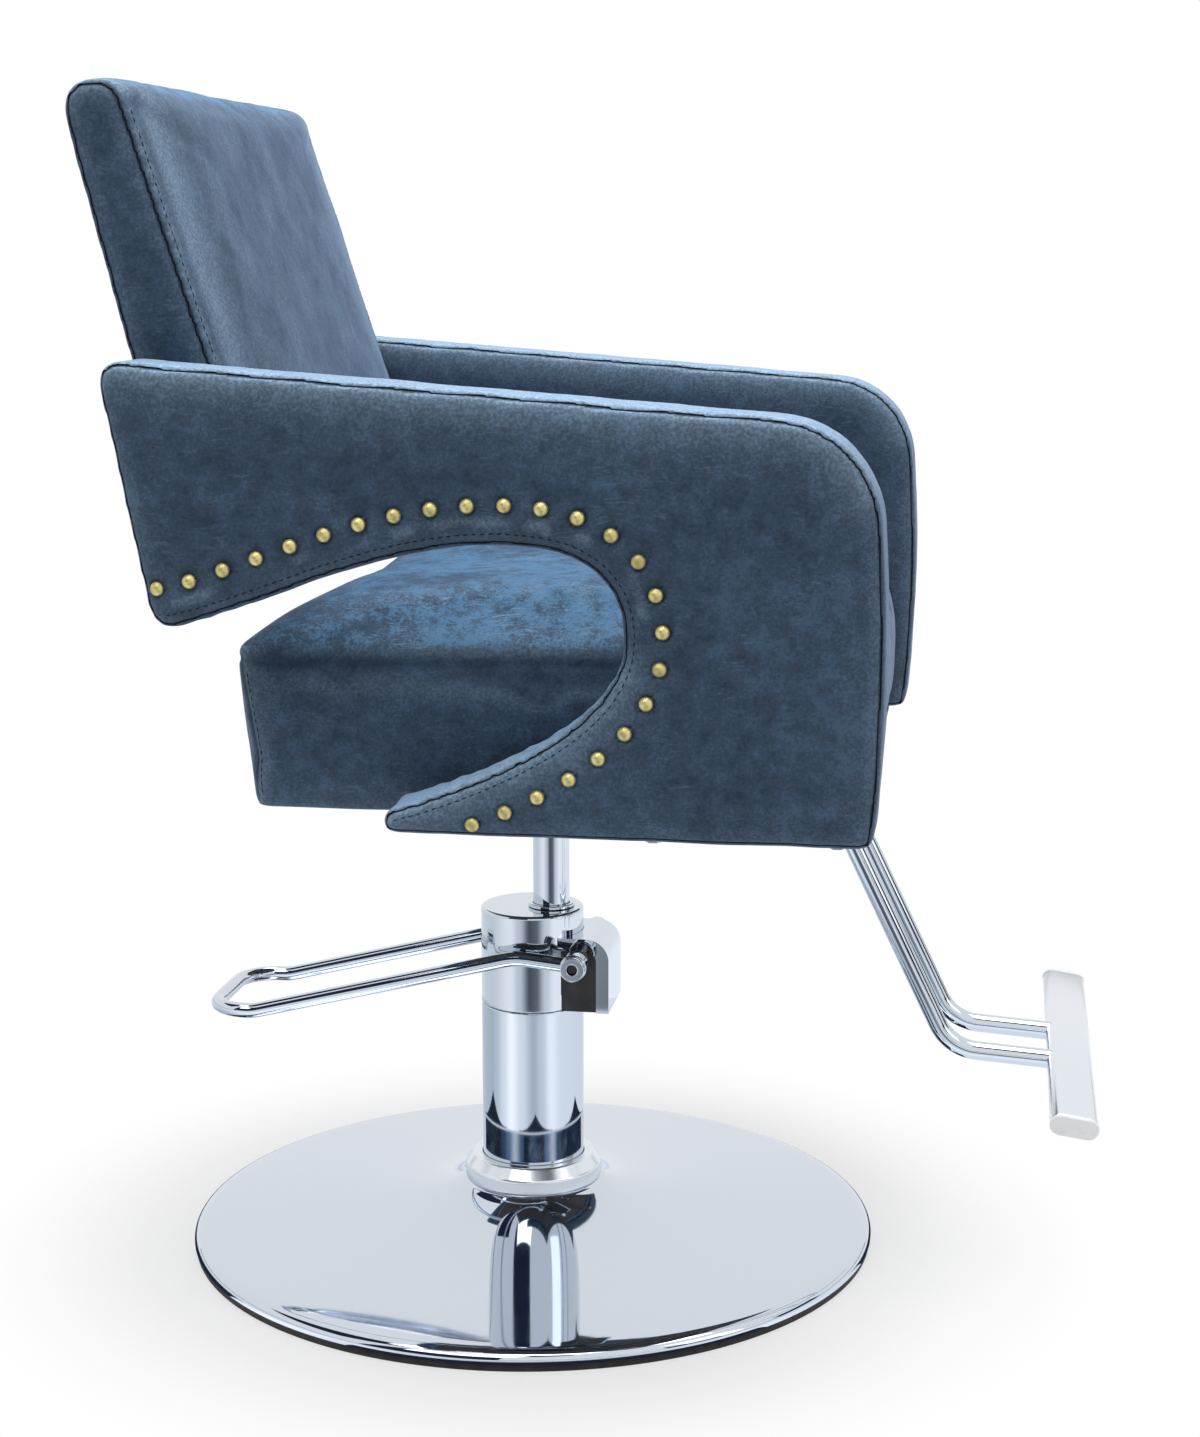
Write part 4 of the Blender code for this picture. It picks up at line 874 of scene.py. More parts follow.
    @staticmethod
    def even(outline: Sequence[Sequence[float]], spacing: float, closed: bool = True) -> list[tuple]:
        """Walk along a line and return evenly spaced points.

        Args:
            outline: The line's points.
            spacing: About how far apart the points are.
            closed: Whether the line returns to its start.

        Returns:
            The new points.
        """
        points = [Vector(point) for point in outline]
        if closed:
            points.append(points[0])
        lengths = [0.0]
        for first, second in zip(points, points[1:]):
            lengths.append(lengths[-1] + (second - first).length)
        count = max(3, round(lengths[-1] / spacing))
        goals = [lengths[-1] * number / count for number in range(count if closed else count + 1)]
        placed = []
        at = 0
        for goal in goals:
            while at < len(lengths) - 2 and lengths[at + 1] < goal:
                at += 1
            run = lengths[at + 1] - lengths[at]
            share = (goal - lengths[at]) / run if run else 0.0
            placed.append(tuple(points[at].lerp(points[at + 1], min(1.0, share))))
        return placed

    @staticmethod
    def inset(outline: Sequence[Flat], amount: float) -> list[Flat]:
        """Move the points of a counterclockwise outline inwards."""
        count = len(outline)
        moved = []
        for index, point in enumerate(outline):
            along = (Vector(outline[(index + 1) % count]) - Vector(outline[index - 1])).normalized()
            moved.append((point[0] - along.y * amount, point[1] + along.x * amount))
        return moved


class Upholstery:
    """Work on padded covers: remeshing, swelling, seams, stitches, wear and painted light."""

    FINE = 0.0015
    PITCH = 0.0062
    CORD = 0.0007
    STITCH = (0.33, 0.0005, 0.0004)
    FRAMES = 20

    def __init__(self, palette: Palette) -> None:
        """Keep the chair's finishes."""
        self.palette = palette

    def remeshed(self, name: str, bm: Shape, voxel: float) -> Thing:
        """Return an even quad cover of a closed form.

        Args:
            name: The piece's name.
            bm: The closed form, freed afterwards.
            voxel: The size of the faces.

        Returns:
            The cover as an object.
        """
        rough = Workshop.piece(name + "_form", bm, self.palette.cover)
        modifier = rough.modifiers.new("cover", "REMESH")
        modifier.mode = "VOXEL"
        modifier.voxel_size = voxel
        mesh = Workshop.baked(rough)
        bpy.data.objects.remove(rough)
        return Workshop.adopt(name, mesh, self.palette.cover, 180.0)

    @staticmethod
    def rows(items: bpy.types.bpy_prop_collection, name: str, width: int, kind: type) -> np.ndarray:
        """Return one property of a mesh's items as rows of an array."""
        flat = np.zeros(len(items) * width, kind)
        items.foreach_get(name, flat)
        return flat.reshape(-1, width)

    @staticmethod
    def points(obj: Thing) -> np.ndarray:
        """Return the mesh points as an array."""
        return Upholstery.rows(obj.data.vertices, "co", 3, float)

    @staticmethod
    def normals(obj: Thing) -> np.ndarray:
        """Return the vertex normals as an array."""
        return Upholstery.rows(obj.data.vertex_normals, "vector", 3, np.float32).astype(float)

    @staticmethod
    def move(obj: Thing, points: np.ndarray) -> None:
        """Put the mesh points where the array says."""
        obj.data.vertices.foreach_set("co", points.reshape(-1))
        obj.data.update()

    @staticmethod
    def links(obj: Thing) -> np.ndarray:
        """Return the edges as pairs of point numbers."""
        return Upholstery.rows(obj.data.edges, "vertices", 2, np.int32)

    @staticmethod
    def relaxed(values: np.ndarray, links: np.ndarray, rounds: int) -> np.ndarray:
        """Move values half way to the mean of their neighbours along edges.

        Args:
            values: One row per point.
            links: The edges.
            rounds: How often.

        Returns:
            The smoothed values.
        """
        count = np.bincount(links.reshape(-1), minlength=len(values)).astype(float)
        shape = (-1,) + (1,) * (values.ndim - 1)
        for _ in range(rounds):
            total = np.zeros_like(values)
            np.add.at(total, links[:, 0], values[links[:, 1]])
            np.add.at(total, links[:, 1], values[links[:, 0]])
            mean = total / np.maximum(count, 1.0).reshape(shape)
            values = values + 0.5 * (mean - values)
        return values

    def smooth(self, obj: Thing, rounds: int) -> None:
        """Ease out the steps that remeshing leaves."""
        self.move(obj, self.relaxed(self.points(obj), self.links(obj), rounds))

    def plump(self, obj: Thing, pressure: float, cap: float, held: np.ndarray) -> None:
        """Swell a cover by cloth simulation, and hold each point near its start.

        Args:
            obj: The remeshed cover.
            pressure: The pressure inside.
            cap: The furthest that a point may move.
            held: One weight per point, 1 where the cover is sewn or stapled down.
        """
        start = self.points(obj)
        group = obj.vertex_groups.new(name="sewn_down")
        for number in np.flatnonzero(held > 0.01):
            group.add([int(number)], float(held[number]), "REPLACE")
        cloth = obj.modifiers.new("swell", "CLOTH")
        settings = cloth.settings
        settings.quality = 4
        settings.mass = 0.4
        settings.tension_stiffness = 22.0
        settings.compression_stiffness = 22.0
        settings.shear_stiffness = 8.0
        settings.bending_stiffness = 1.2
        settings.use_pressure = True
        settings.uniform_pressure_force = pressure
        settings.effector_weights.gravity = 0.0
        settings.vertex_group_mass = group.name
        cloth.collision_settings.use_collision = False
        cloth.point_cache.frame_start = 1
        cloth.point_cache.frame_end = self.FRAMES
        scene = bpy.context.scene
        for number in range(1, self.FRAMES + 1):
            scene.frame_set(number)
        swollen = Workshop.baked(obj)
        step = self.rows(swollen.vertices, "co", 3, float) - start
        bpy.data.meshes.remove(swollen)
        obj.modifiers.remove(cloth)
        obj.vertex_groups.clear()
        scene.frame_set(1)
        length = np.linalg.norm(step, axis=1, keepdims=True)
        eased = cap * np.tanh(length / cap)
        self.move(obj, start + step * eased / np.maximum(length, 1e-9))
        LOG.info("swelled %s by up to %.1f mm", obj.name, float(eased.max()) * 1000)

    def ripple(self, obj: Thing, size: object, depth: float, seed: float, share: object = 1.0) -> None:
        """Add the slight unevenness of a hand-stretched cover.

        Args:
            obj: The cover.
            size: The size of the bumps, alike or along each axis.
            depth: How high and deep they are.
            seed: Which bumps.
            share: How much of the depth each point gets.
        """
        height = depth * share * self.clouds(obj, size, seed)
        self.move(obj, self.points(obj) + self.normals(obj) * height[:, None])

    @staticmethod
    def clouds(obj: Thing, size: object, seed: float = 0.0) -> np.ndarray:
        """Return smooth noise of some size at each point."""
        shift = Vector((seed, seed * 1.7, -seed))
        spots = Upholstery.points(obj) / np.asarray(size)
        return np.array([noise.noise(Vector(spot) + shift) for spot in spots])

    @staticmethod
    def gaps(obj: Thing, lines: Lines) -> np.ndarray:
        """Return how far each point is from the nearest of some lines."""
        tree = KDTree(sum(len(line) for line in lines))
        number = 0
        for line in lines:
            for point in line:
                tree.insert(point, number)
                number += 1
        tree.balance()
        return np.array([tree.find(point)[2] for point in Upholstery.points(obj)])

    @staticmethod
    def near(obj: Thing, lines: Lines, width: float) -> np.ndarray:
        """Return 1 for points on some lines, falling to 0 within about twice the width."""
        return np.exp(-((Upholstery.gaps(obj, lines) / width) ** 2))

    def sew(self, obj: Thing, width: float, depth: float, *groups: Lines) -> None:
        """Press lines into a cover and mark the seams among them for the material.

        Args:
            obj: The cover.
            width: How wide the pressed groove is.
            depth: How deep it is.
            groups: Dense points of each seam line, and then those of each plain crease.
        """
        lines = [[[spot for spot, _ in self.laid(obj, line, 0.0)] for line in group] for group in groups]
        gaps = [self.gaps(obj, group) for group in lines]
        groove = np.exp(-((np.minimum.reduce(gaps) / width) ** 2))
        self.move(obj, self.points(obj) - self.normals(obj) * (depth * groove)[:, None])
        self.paint(obj, "seam", np.exp(-((gaps[0] / (width * 0.6)) ** 2)))

    def weather(self, obj: Thing, rubbed_and_lit: object = 0.0, faded_and_top_lit: object = 0.0) -> None:
        """Mark the outward curved edges, pale from wear and painted highlight, and the tops, pale from
        fading and painted top light.

        Args:
            obj: The cover.
            rubbed_and_lit: The least wear and painted highlight, for all points or for each.
            faded_and_top_lit: The least fading and painted top light, for all points or for each.
        """
        points = self.points(obj)
        normals = self.normals(obj)
        links = self.links(obj)
        run = points[links[:, 1]] - points[links[:, 0]]
        turn = normals[links[:, 1]] - normals[links[:, 0]]
        bow = np.sum(run * turn, axis=1) / np.maximum(np.sum(run * run, axis=1), 1e-12)
        total = np.zeros(len(points))
        count = np.bincount(links.reshape(-1), minlength=len(points))
        np.add.at(total, links[:, 0], bow)
        np.add.at(total, links[:, 1], bow)
        bow = self.relaxed(total / np.maximum(count, 1), links, 12)
        # Curved edges, more so where they face up, are painted pale: part real wear, part painted
        # highlight.
        up = np.clip(normals[:, 2] + 0.25, 0.0, 1.0)
        self.paint(obj, "wear", np.maximum(np.clip(bow / 110.0, 0.0, 1.0) * (0.2 + 0.8 * up), rubbed_and_lit))
        # Faces that look up are painted pale: part fading, part painted top light.
        self.paint(obj, "fade", np.maximum(np.clip((normals[:, 2] - 0.70) / 0.15, 0.0, 1.0), faded_and_top_lit))

    @staticmethod
    def paint(obj: Thing, name: str, values: np.ndarray) -> None:
        """Store one number per point for the material."""
        layer = obj.data.attributes.get(name) or obj.data.attributes.new(name, "FLOAT", "POINT")
        layer.data.foreach_set("value", values.astype(np.float32))

    def refine(self, obj: Thing) -> None:
        """Add one subdivision to a cover."""
        modifier = obj.modifiers.new("fine", "SUBSURF")
        modifier.levels = 1
        modifier.render_levels = 1
        mesh = Workshop.baked(obj)
        obj.modifiers.clear()
        obj.data = mesh

    @staticmethod
    def laid(obj: Thing, line: Sequence[Point], lift: float) -> list[tuple[Vector, Vector]]:
        """Lay a line on a cover.

        Args:
            obj: The cover.
            line: Points near its surface.
            lift: How far above the surface the line runs.

        Returns:
            Pairs of a place and the surface's normal there.
        """
        tree = BVHTree.FromObject(obj, bpy.context.evaluated_depsgraph_get())
        pairs = []
        for point in line:
            spot, up, _, _ = tree.find_nearest(point)
            pairs.append((spot + up * lift, up))
        return pairs

    def cord(self, name: str, obj: Thing, lines: Lines) -> None:
        """Run a dark cord along the bottom of each closed seam."""
        paths = [[tuple(spot) for spot, _ in self.laid(obj, line, 0.0)] for line in lines]
        cord = Workshop.tube(name, paths, self.CORD, self.palette.thread, closed=True, sides=1)
        Workshop.join_frame(cord, Body.SEAT, Slot.COVER)

    def stitches(self, name: str, obj: Thing, lines: Lines) -> None:
        """Sew rows of short stitches that lie on a cover.

        Args:
            name: The piece's name.
            obj: The cover that they lie on.
            lines: The lines that they follow.
        """
        share, wide, thick = self.STITCH
        size = Matrix.Diagonal((self.PITCH * share, wide, thick, 1.0))
        places = []
        for line in lines:
            marks = self.laid(obj, Workshop.even(line, self.PITCH, closed=False), 0.0)
            for (here, up), (there, _) in zip(marks, marks[1:]):
                along = there - here
                along = (along - up * along.dot(up)).normalized()
                turn = Matrix((along, up.cross(along), up)).transposed().to_4x4()
                places.append(Matrix.Translation((here + there) / 2) @ turn @ size)
        bm = bmesh.new()
        bmesh.ops.create_uvsphere(bm, u_segments=6, v_segments=4, radius=1.0)
        stitches = Workshop.repeated(name, bm, places, self.palette.thread)
        Workshop.join_frame(stitches, Body.SEAT, Slot.COVER)


@dataclass
class ArmPanel:
    """One C-shaped upholstered arm with its seams and row of brass nails."""

    side: Side
    inner: float = 0.260
    thick: float = 0.075
    padding: float = 0.0065
    pad_run: float = 0.030
    edge: float = 0.0035
    underside: float = 0.436
    rear: Flat = (-0.2685, 0.7885)
    rear_corner: float = 0.016
    front: Flat = (0.3168, 0.7445)
    front_corner: float = 0.082
    front_bulge: float = 0.0055
    toe_x: float = 0.3135
    toe_corner: float = 0.010
    tip_x: float = -0.0445
    tip_radius: float = 0.0105
    elbow: Flat = (-0.2265, 0.5825)
    elbow_corner: float = 0.018
    slope: float = 0.318
    mouth_rear_x: float = -0.190
    mouth_top: Flat = (0.040, 0.654)
    mouth_front: Flat = (0.128, 0.588)
    rear_pull: float = 0.085
    top_pull: float = 0.055
    front_pull: float = 0.047
    low_pull: float = 0.060
    tip_pull: float = 0.090
    voxel: float = 0.0050
    pressure: float = 3.5
    swell_cap: float = 0.004
    groove: Flat = (0.0022, 0.0012)
    seam_inset: float = 0.0012
    stitch_inset: float = 0.0085
    draw_inset: float = 0.018
    nail_inset: float = 0.031
    nail_pitch: float = 0.0272
    nail_radius: float = 0.0055
    nail_rise: float = 0.0044
    nail_tail: float = 0.054

    @property
    def outer(self) -> float:
        """Return where the outer face stands along Y."""
        return self.side.value * (self.inner + self.thick)

    def mouth(self) -> list[Flat]:
        """Return the edge of the opening, from its rear corner round to the tip."""
        steep = math.atan(self.slope)
        rear_z = self.elbow[1] + (self.mouth_rear_x - self.elbow[0]) * self.slope
        rear = (self.mouth_rear_x, rear_z)
        top, front = self.mouth_top, self.mouth_front
        tip_z = self.underside + self.tip_radius
        tip = (self.tip_x - self.tip_radius * math.sin(steep), tip_z + self.tip_radius * math.cos(steep))
        from_rear = (rear[0] + self.rear_pull, rear[1] + self.rear_pull * self.slope)
        points = Workshop.cubic(rear, from_rear, (top[0] - self.rear_pull, top[1]), top, 40)
        round_top = (top[0] + self.top_pull, top[1])
        points += Workshop.cubic(top, round_top, (front[0], front[1] + self.front_pull), front, 30)
        to_tip = (tip[0] + self.tip_pull * math.cos(steep), tip[1] + self.tip_pull * math.sin(steep))
        points += Workshop.cubic(front, (front[0], front[1] - self.low_pull), to_tip, tip, 40)
        return points + [tip]

    def outline(self) -> list[Flat]:
        """Return the side outline, counterclockwise in x and z."""
        corner = Workshop.corner
        mouth = self.mouth()
        toe = (self.toe_x, self.underside)
        heel = (self.tip_x, self.underside)
        points = [heel] + corner(heel, toe, self.front, self.toe_corner)
        brow = corner(toe, self.front, self.rear, self.front_corner)
        rise = brow[0][1] - points[-1][1]
        bulge = self.front[0] + self.front_bulge
        low = (bulge - 0.002, points[-1][1] + rise * 0.35)
        high = (bulge, brow[0][1] - rise * 0.35)
        points += Workshop.cubic(points[-1], low, high, brow[0], 40)[1:] + brow
        points += corner(self.front, self.rear, self.elbow, self.rear_corner)
        points += corner(self.rear, self.elbow, mouth[0], self.elbow_corner)
        points += mouth
        steep = math.atan(self.slope)
        for step in range(1, 12):
            angle = math.pi / 2 + steep + (math.pi - steep) * step / 12
            reach = Vector((math.cos(angle), math.sin(angle))) * self.tip_radius
            points.append((heel[0] + reach.x, heel[1] + self.tip_radius + reach.y))
        return Workshop.even(points, 0.004)

    def build(self, sewing: Upholstery) -> None:
        """Build the panel, its seams, its stitches and its nails."""
        sign = self.side.value
        label = self.side.label
        outline = self.outline()
        faces = (self.inner, self.inner + self.thick)
        ends = sorted((sign * (faces[0] + self.padding), sign * (faces[1] - self.padding)))
        form = Workshop.prism(Workshop.inset(outline, 0.0006), ends[0], ends[1], self.edge, 4)
        cover = sewing.remeshed(f"arm_cover_{label}", form, self.voxel)
        sewing.smooth(cover, 1)
        rim = Workshop.across(Workshop.even(outline, 0.002), ends)
        self.pad(sewing, cover, rim)
        edges = sewing.near(cover, rim, 0.008)
        middle = np.abs(sewing.points(cover)[:, 1]) - (faces[0] + faces[1]) / 2
        gusset = np.clip((self.thick / 2 - self.padding - np.abs(middle)) / 0.004, 0.0, 1.0) * 0.85
        sewing.plump(cover, self.pressure, self.swell_cap, np.maximum(edges * 0.95, gusset))
        points = sewing.points(cover)
        out = np.clip(np.abs(points[:, 1]), faces[0] + 0.0004, faces[1] - 0.0002)
        points[:, 1] = sign * out
        sewing.move(cover, points)
        sewing.smooth(cover, 1)
        sewing.ripple(cover, 0.055, 0.0008, 3.1 * sign)
        sewing.ripple(cover, 0.017, 0.0003, 7.7)
        sewing.refine(cover)
        lip = [(x, z) for x, z in self.mouth() if z < self.mouth_front[1] + 0.02]
        levels = [ends[0] + (ends[1] - ends[0]) * part for part in (0.2, 0.4, 0.6, 0.8)]
        bands = Workshop.across(lip, levels)
        creased = sewing.near(cover, bands, 0.012)
        sewing.ripple(cover, (0.011, 0.030, 0.011), 0.0016, 2.3 * sign, creased)
        line = Workshop.even(Workshop.inset(outline, self.seam_inset), sewing.FINE)
        seams = Workshop.across(line, ends)
        # Rings round the nails are pressed in with the seams and darkened like them, as a painted shadow
        # ring round each nail.
        dent = [(math.cos(step / 2), math.sin(step / 2)) for step in range(13)]
        ring = self.nail_radius + 0.0005
        spots = self.nail_spots()
        nail_dents_and_shadow = [[(x + ring * right, self.outer, z + ring * up) for right, up in dent] for x, z in spots]
        sewing.sew(cover, *self.groove, seams + nail_dents_and_shadow)
        # Painted top light: the arm's top faces are painted pale by how far they face up.
        upward = np.clip(sewing.normals(cover)[:, 2], 0.0, 1.0)
        ridge = []
        for edge in rim:
            ridge.append([here for here, after in zip(edge, edge[1:]) if here[0] - after[0] > 0.0008])
        # Painted light: a pale band runs down the side from the top edge and fades out.
        lit_below_ridge = 0.60 * np.exp(-sewing.gaps(cover, ridge) / 0.013)
        sewing.weather(cover, np.maximum(0.95 * upward**1.4, self.drawn(sewing, cover) + lit_below_ridge))
        Workshop.join_frame(cover, Body.SEAT, Slot.COVER, f"arm_panel_{label}")
        sewing.cord(f"arm_seam_{label}", cover, seams)
        row = Workshop.even(self.beside(self.stitch_inset), sewing.FINE, closed=False)
        rows = Workshop.across(row, [sign * face for face in faces])
        sewing.stitches(f"arm_stitches_{label}", cover, rows)
        self.drive_nails(sewing, cover)

    def pad(self, sewing: Upholstery, cover: Thing, rim: Lines) -> None:
        """Round the two faces out from their seams, as over wadding.

        Args:
            sewing: The upholstery tools.
            cover: The arm's cover.
            rim: The two outlines where the faces begin.
        """
        share = np.clip((sewing.gaps(cover, rim) - 0.001) / self.pad_run, 0.0, 1.0)
        side = sewing.normals(cover)[:, 1]
        facing = np.clip((np.abs(side) - 0.5) / 0.3, 0.0, 1.0) * np.sign(side)
        points = sewing.points(cover)
        points[:, 1] += facing * 0.9 * self.padding * (1 - (1 - share) ** 2.4)
        sewing.move(cover, points)

    def drawn(self, sewing: Upholstery, cover: Thing) -> np.ndarray:
        """Return the pale crescents where the cover is drawn tight between the nails and the opening.

        Args:
            sewing: The upholstery tools.
            cover: The arm's cover.

        Returns:
            The wear of each point.
        """
        low = self.mouth_front[1] + 0.02
        line = [(x, self.outer, z) for x, z in self.beside(self.draw_inset) if z > low]
        breaks = np.clip(sewing.clouds(cover, 0.022) * 2.2 + 0.25, 0.0, 1.0)
        return 0.26 * sewing.near(cover, [line], 0.0050) * breaks

    def beside(self, inset: float) -> list[Flat]:
        """Return the line that runs beside the opening's edge, some way into the panel."""
        heel = (self.elbow[0] + 0.012, self.elbow[1] + 0.006)
        edge = Workshop.even([heel] + self.mouth(), 0.004, closed=False)
        row = []
        for index, point in enumerate(edge):
            before = Vector(edge[max(index - 1, 0)])
            after = Vector(edge[min(index + 1, len(edge) - 1)])
            along = (after - before).normalized()
            row.append((point[0] - along.y * inset, point[1] + along.x * inset))
        return row

    def nail_spots(self) -> list[Flat]:
        """Return where the nails stand on the outer face, evenly spaced beside the opening."""
        row = self.beside(self.nail_inset)[: -round(self.nail_tail / 0.004)]
        return Workshop.even(row, self.nail_pitch, closed=False)

    def drive_nails(self, sewing: Upholstery, cover: Thing) -> None:
        """Drive a row of domed nails into the outer face.

        Args:
            sewing: The upholstery tools with the finishes.
            cover: The arm's cover.
        """
        row = [(x, self.outer, z) for x, z in self.nail_spots()]
        places = []
        for spot, up in sewing.laid(cover, row, 0.0):
            out = Vector((0, self.side.value, 0)).lerp(up, 0.5)
            places.append(Matrix.Translation(spot) @ out.to_track_quat("Z", "Y").to_matrix().to_4x4())
        profile = [(0.0, self.nail_rise)]
        for step in range(1, 7):
            angle = math.pi / 2 * step / 6
            profile.append((self.nail_radius * math.sin(angle), self.nail_rise * math.cos(angle)))
        profile += [(self.nail_radius * 0.9, -0.0006), (0.0, -0.0006)]
        dome = Workshop.spun(profile, steps=20)
        nails = Workshop.repeated(f"arm_nails_{self.side.label}", dome, places, sewing.palette.brass)
        Workshop.join_frame(nails, Body.SEAT, Slot.BEARING)


@dataclass
class SeatCushion:
    """The boxed seat cushion with round top edges, sewn corners and a pocket for its board."""

    rear: float = -0.194
    front: float = 0.300
    half: float = 0.257
    bottom: float = 0.4363
    top: float = 0.573
    slope: float = 0.018
    crown: float = 0.030
    along_power: float = 6.0
    across_power: float = 8.0
    rear_lean: float = 0.018
    edge: float = 0.010
    corner: float = 0.008
    lap: float = 0.016
    board_low: Point = (-0.140, -0.220, 0.42)
    board_high: Point = (0.280, 0.220, 0.4513)
    board_room: float = 0.004
    board_margin: float = 0.008
    voxel: float = 0.0055
    pressure: float = 3.0
    swell_cap: float = 0.010
    groove: Flat = (0.0030, 0.0016)
    stitch_inset: float = 0.011

    def form(self) -> Thing:
        """Return the cushion's plain form with its pocket."""
        slack = 0.0025
        low = Vector((self.rear + slack, -self.half + slack, self.bottom))
        high = Vector((self.front - slack, self.half - slack, self.top - slack))
        bm = Workshop.box(low, high)
        upright = [item for item in bm.edges if abs(item.verts[0].co.z - item.verts[1].co.z) > 0.01]
        Workshop.rounded(bm, upright, self.corner, 5)
        brim = [item for item in bm.edges if min(vert.co.z for vert in item.verts) > high.z - 0.001]
        Workshop.rounded(bm, brim, self.edge, 6)
        foot = [item for item in bm.edges if max(vert.co.z for vert in item.verts) < low.z + 0.001]
        Workshop.rounded(bm, foot, 0.006, 3)
        form = Workshop.piece("seat_form", bm, bpy.data.materials[0])
        room = Vector((self.board_room,) * 3)
        Workshop.carve(form, Workshop.box(Vector(self.board_low) - room, Vector(self.board_high) + room))
        return form

    def lap_line(self) -> list[Point]:
        """Return the seam that runs round the sides, where the top panel laps over them."""
        rear, front, half = self.rear, self.front, self.half
        loop = [(rear, -half), (front, -half), (front, half), (rear, half)]
        plan = Workshop.rounded_loop(loop, [self.corner] * 4)
        centre = (self.front + self.rear) / 2
        tilt = self.slope * (1 - self.lap / (self.top - self.bottom)) ** 3
        level = self.top - self.lap
        return [(x, y, level + tilt * (x - centre)) for x, y in Workshop.even(plan, Upholstery.FINE)]

    def build(self, sewing: Upholstery) -> None:
        """Build the cushion with its seams."""
        form = self.form()
        bm = bmesh.new()
        bm.from_mesh(form.data)
        bpy.data.objects.remove(form)
        cover = sewing.remeshed("seat_cover", bm, self.voxel)
        points = sewing.points(cover)
        centre = (self.front + self.rear) / 2
        reach = (self.front - self.rear) / 2
        share = np.clip((points[:, 2] - self.bottom) / (self.top - self.bottom), 0.0, 1.0)
        along = (points[:, 0] - centre) / reach
        across = points[:, 1] / self.half
        swell = np.clip(1 - np.abs(along) ** self.along_power, 0, 1)
        swell *= np.clip(1 - np.abs(across) ** self.across_power, 0, 1)
        board = points[:, 2] < self.board_high[2] + self.board_margin
        pocket = board & (np.abs(points[:, 1]) < self.board_high[1] + self.board_margin)
        rise = share**3 * (self.crown * swell + self.slope * (points[:, 0] - centre))
        points[:, 2] += np.where(pocket, 0, rise)
        outer = ~pocket | (points[:, 0] < self.board_low[0] - self.board_margin)
        points[:, 0] += np.where(outer, self.rear_lean * (1 - share) * np.clip(-along, 0, 1) ** 2, 0)
        sewing.move(cover, points)
        held = np.clip((self.bottom + 0.012 - points[:, 2]) / 0.010, 0.0, 1.0)
        sewing.plump(cover, self.pressure, self.swell_cap, np.maximum(held, pocket))
        points = sewing.points(cover)
        points[:, 1] = np.clip(points[:, 1], -self.half - 0.0008, self.half + 0.0008)
        points[:, 2] = np.maximum(points[:, 2], self.bottom)
        sewing.move(cover, points)
        sewing.smooth(cover, 1)
        sewing.ripple(cover, 0.05, 0.0010, 1.3)
        sewing.refine(cover)
        seams = []
        for x, lean in ((self.rear, self.rear_lean), (self.front, 0.0)):
            for y in (-self.half, self.half):
                shares = [step / 80 for step in range(4, 70)]
                height = self.top - self.bottom
                seams.append([(x + lean * (1 - t), y, self.bottom + height * t) for t in shares])
        lap = self.lap_line()
        sewing.sew(cover, *self.groove, seams, [lap])
        points = sewing.points(cover)
        lap_height = self.top - self.lap + self.slope * (points[:, 0] - centre)
        # Painted top light: the top panel above the lap seam is painted pale, partly as fading.
        sewing.weather(cover, 0.0, np.clip((points[:, 2] - lap_height - 0.008) / 0.005, 0.0, 1.0))
        Workshop.join_frame(cover, Body.SEAT, Slot.COVER, "seat_cushion")
        rows = []
        for x, y, z in (seam[0] for seam in seams):
            inward = self.stitch_inset if x < 0 else -self.stitch_inset
            lean = self.rear_lean if x < 0 else 0.0
            rise = [0.004 + 0.0015 * step for step in range(66)]
            slant = lean / (self.top - self.bottom)
            rows.append([(x + inward - slant * up, y, z + up) for up in rise])
        sewing.stitches("seat_stitches", cover, rows)


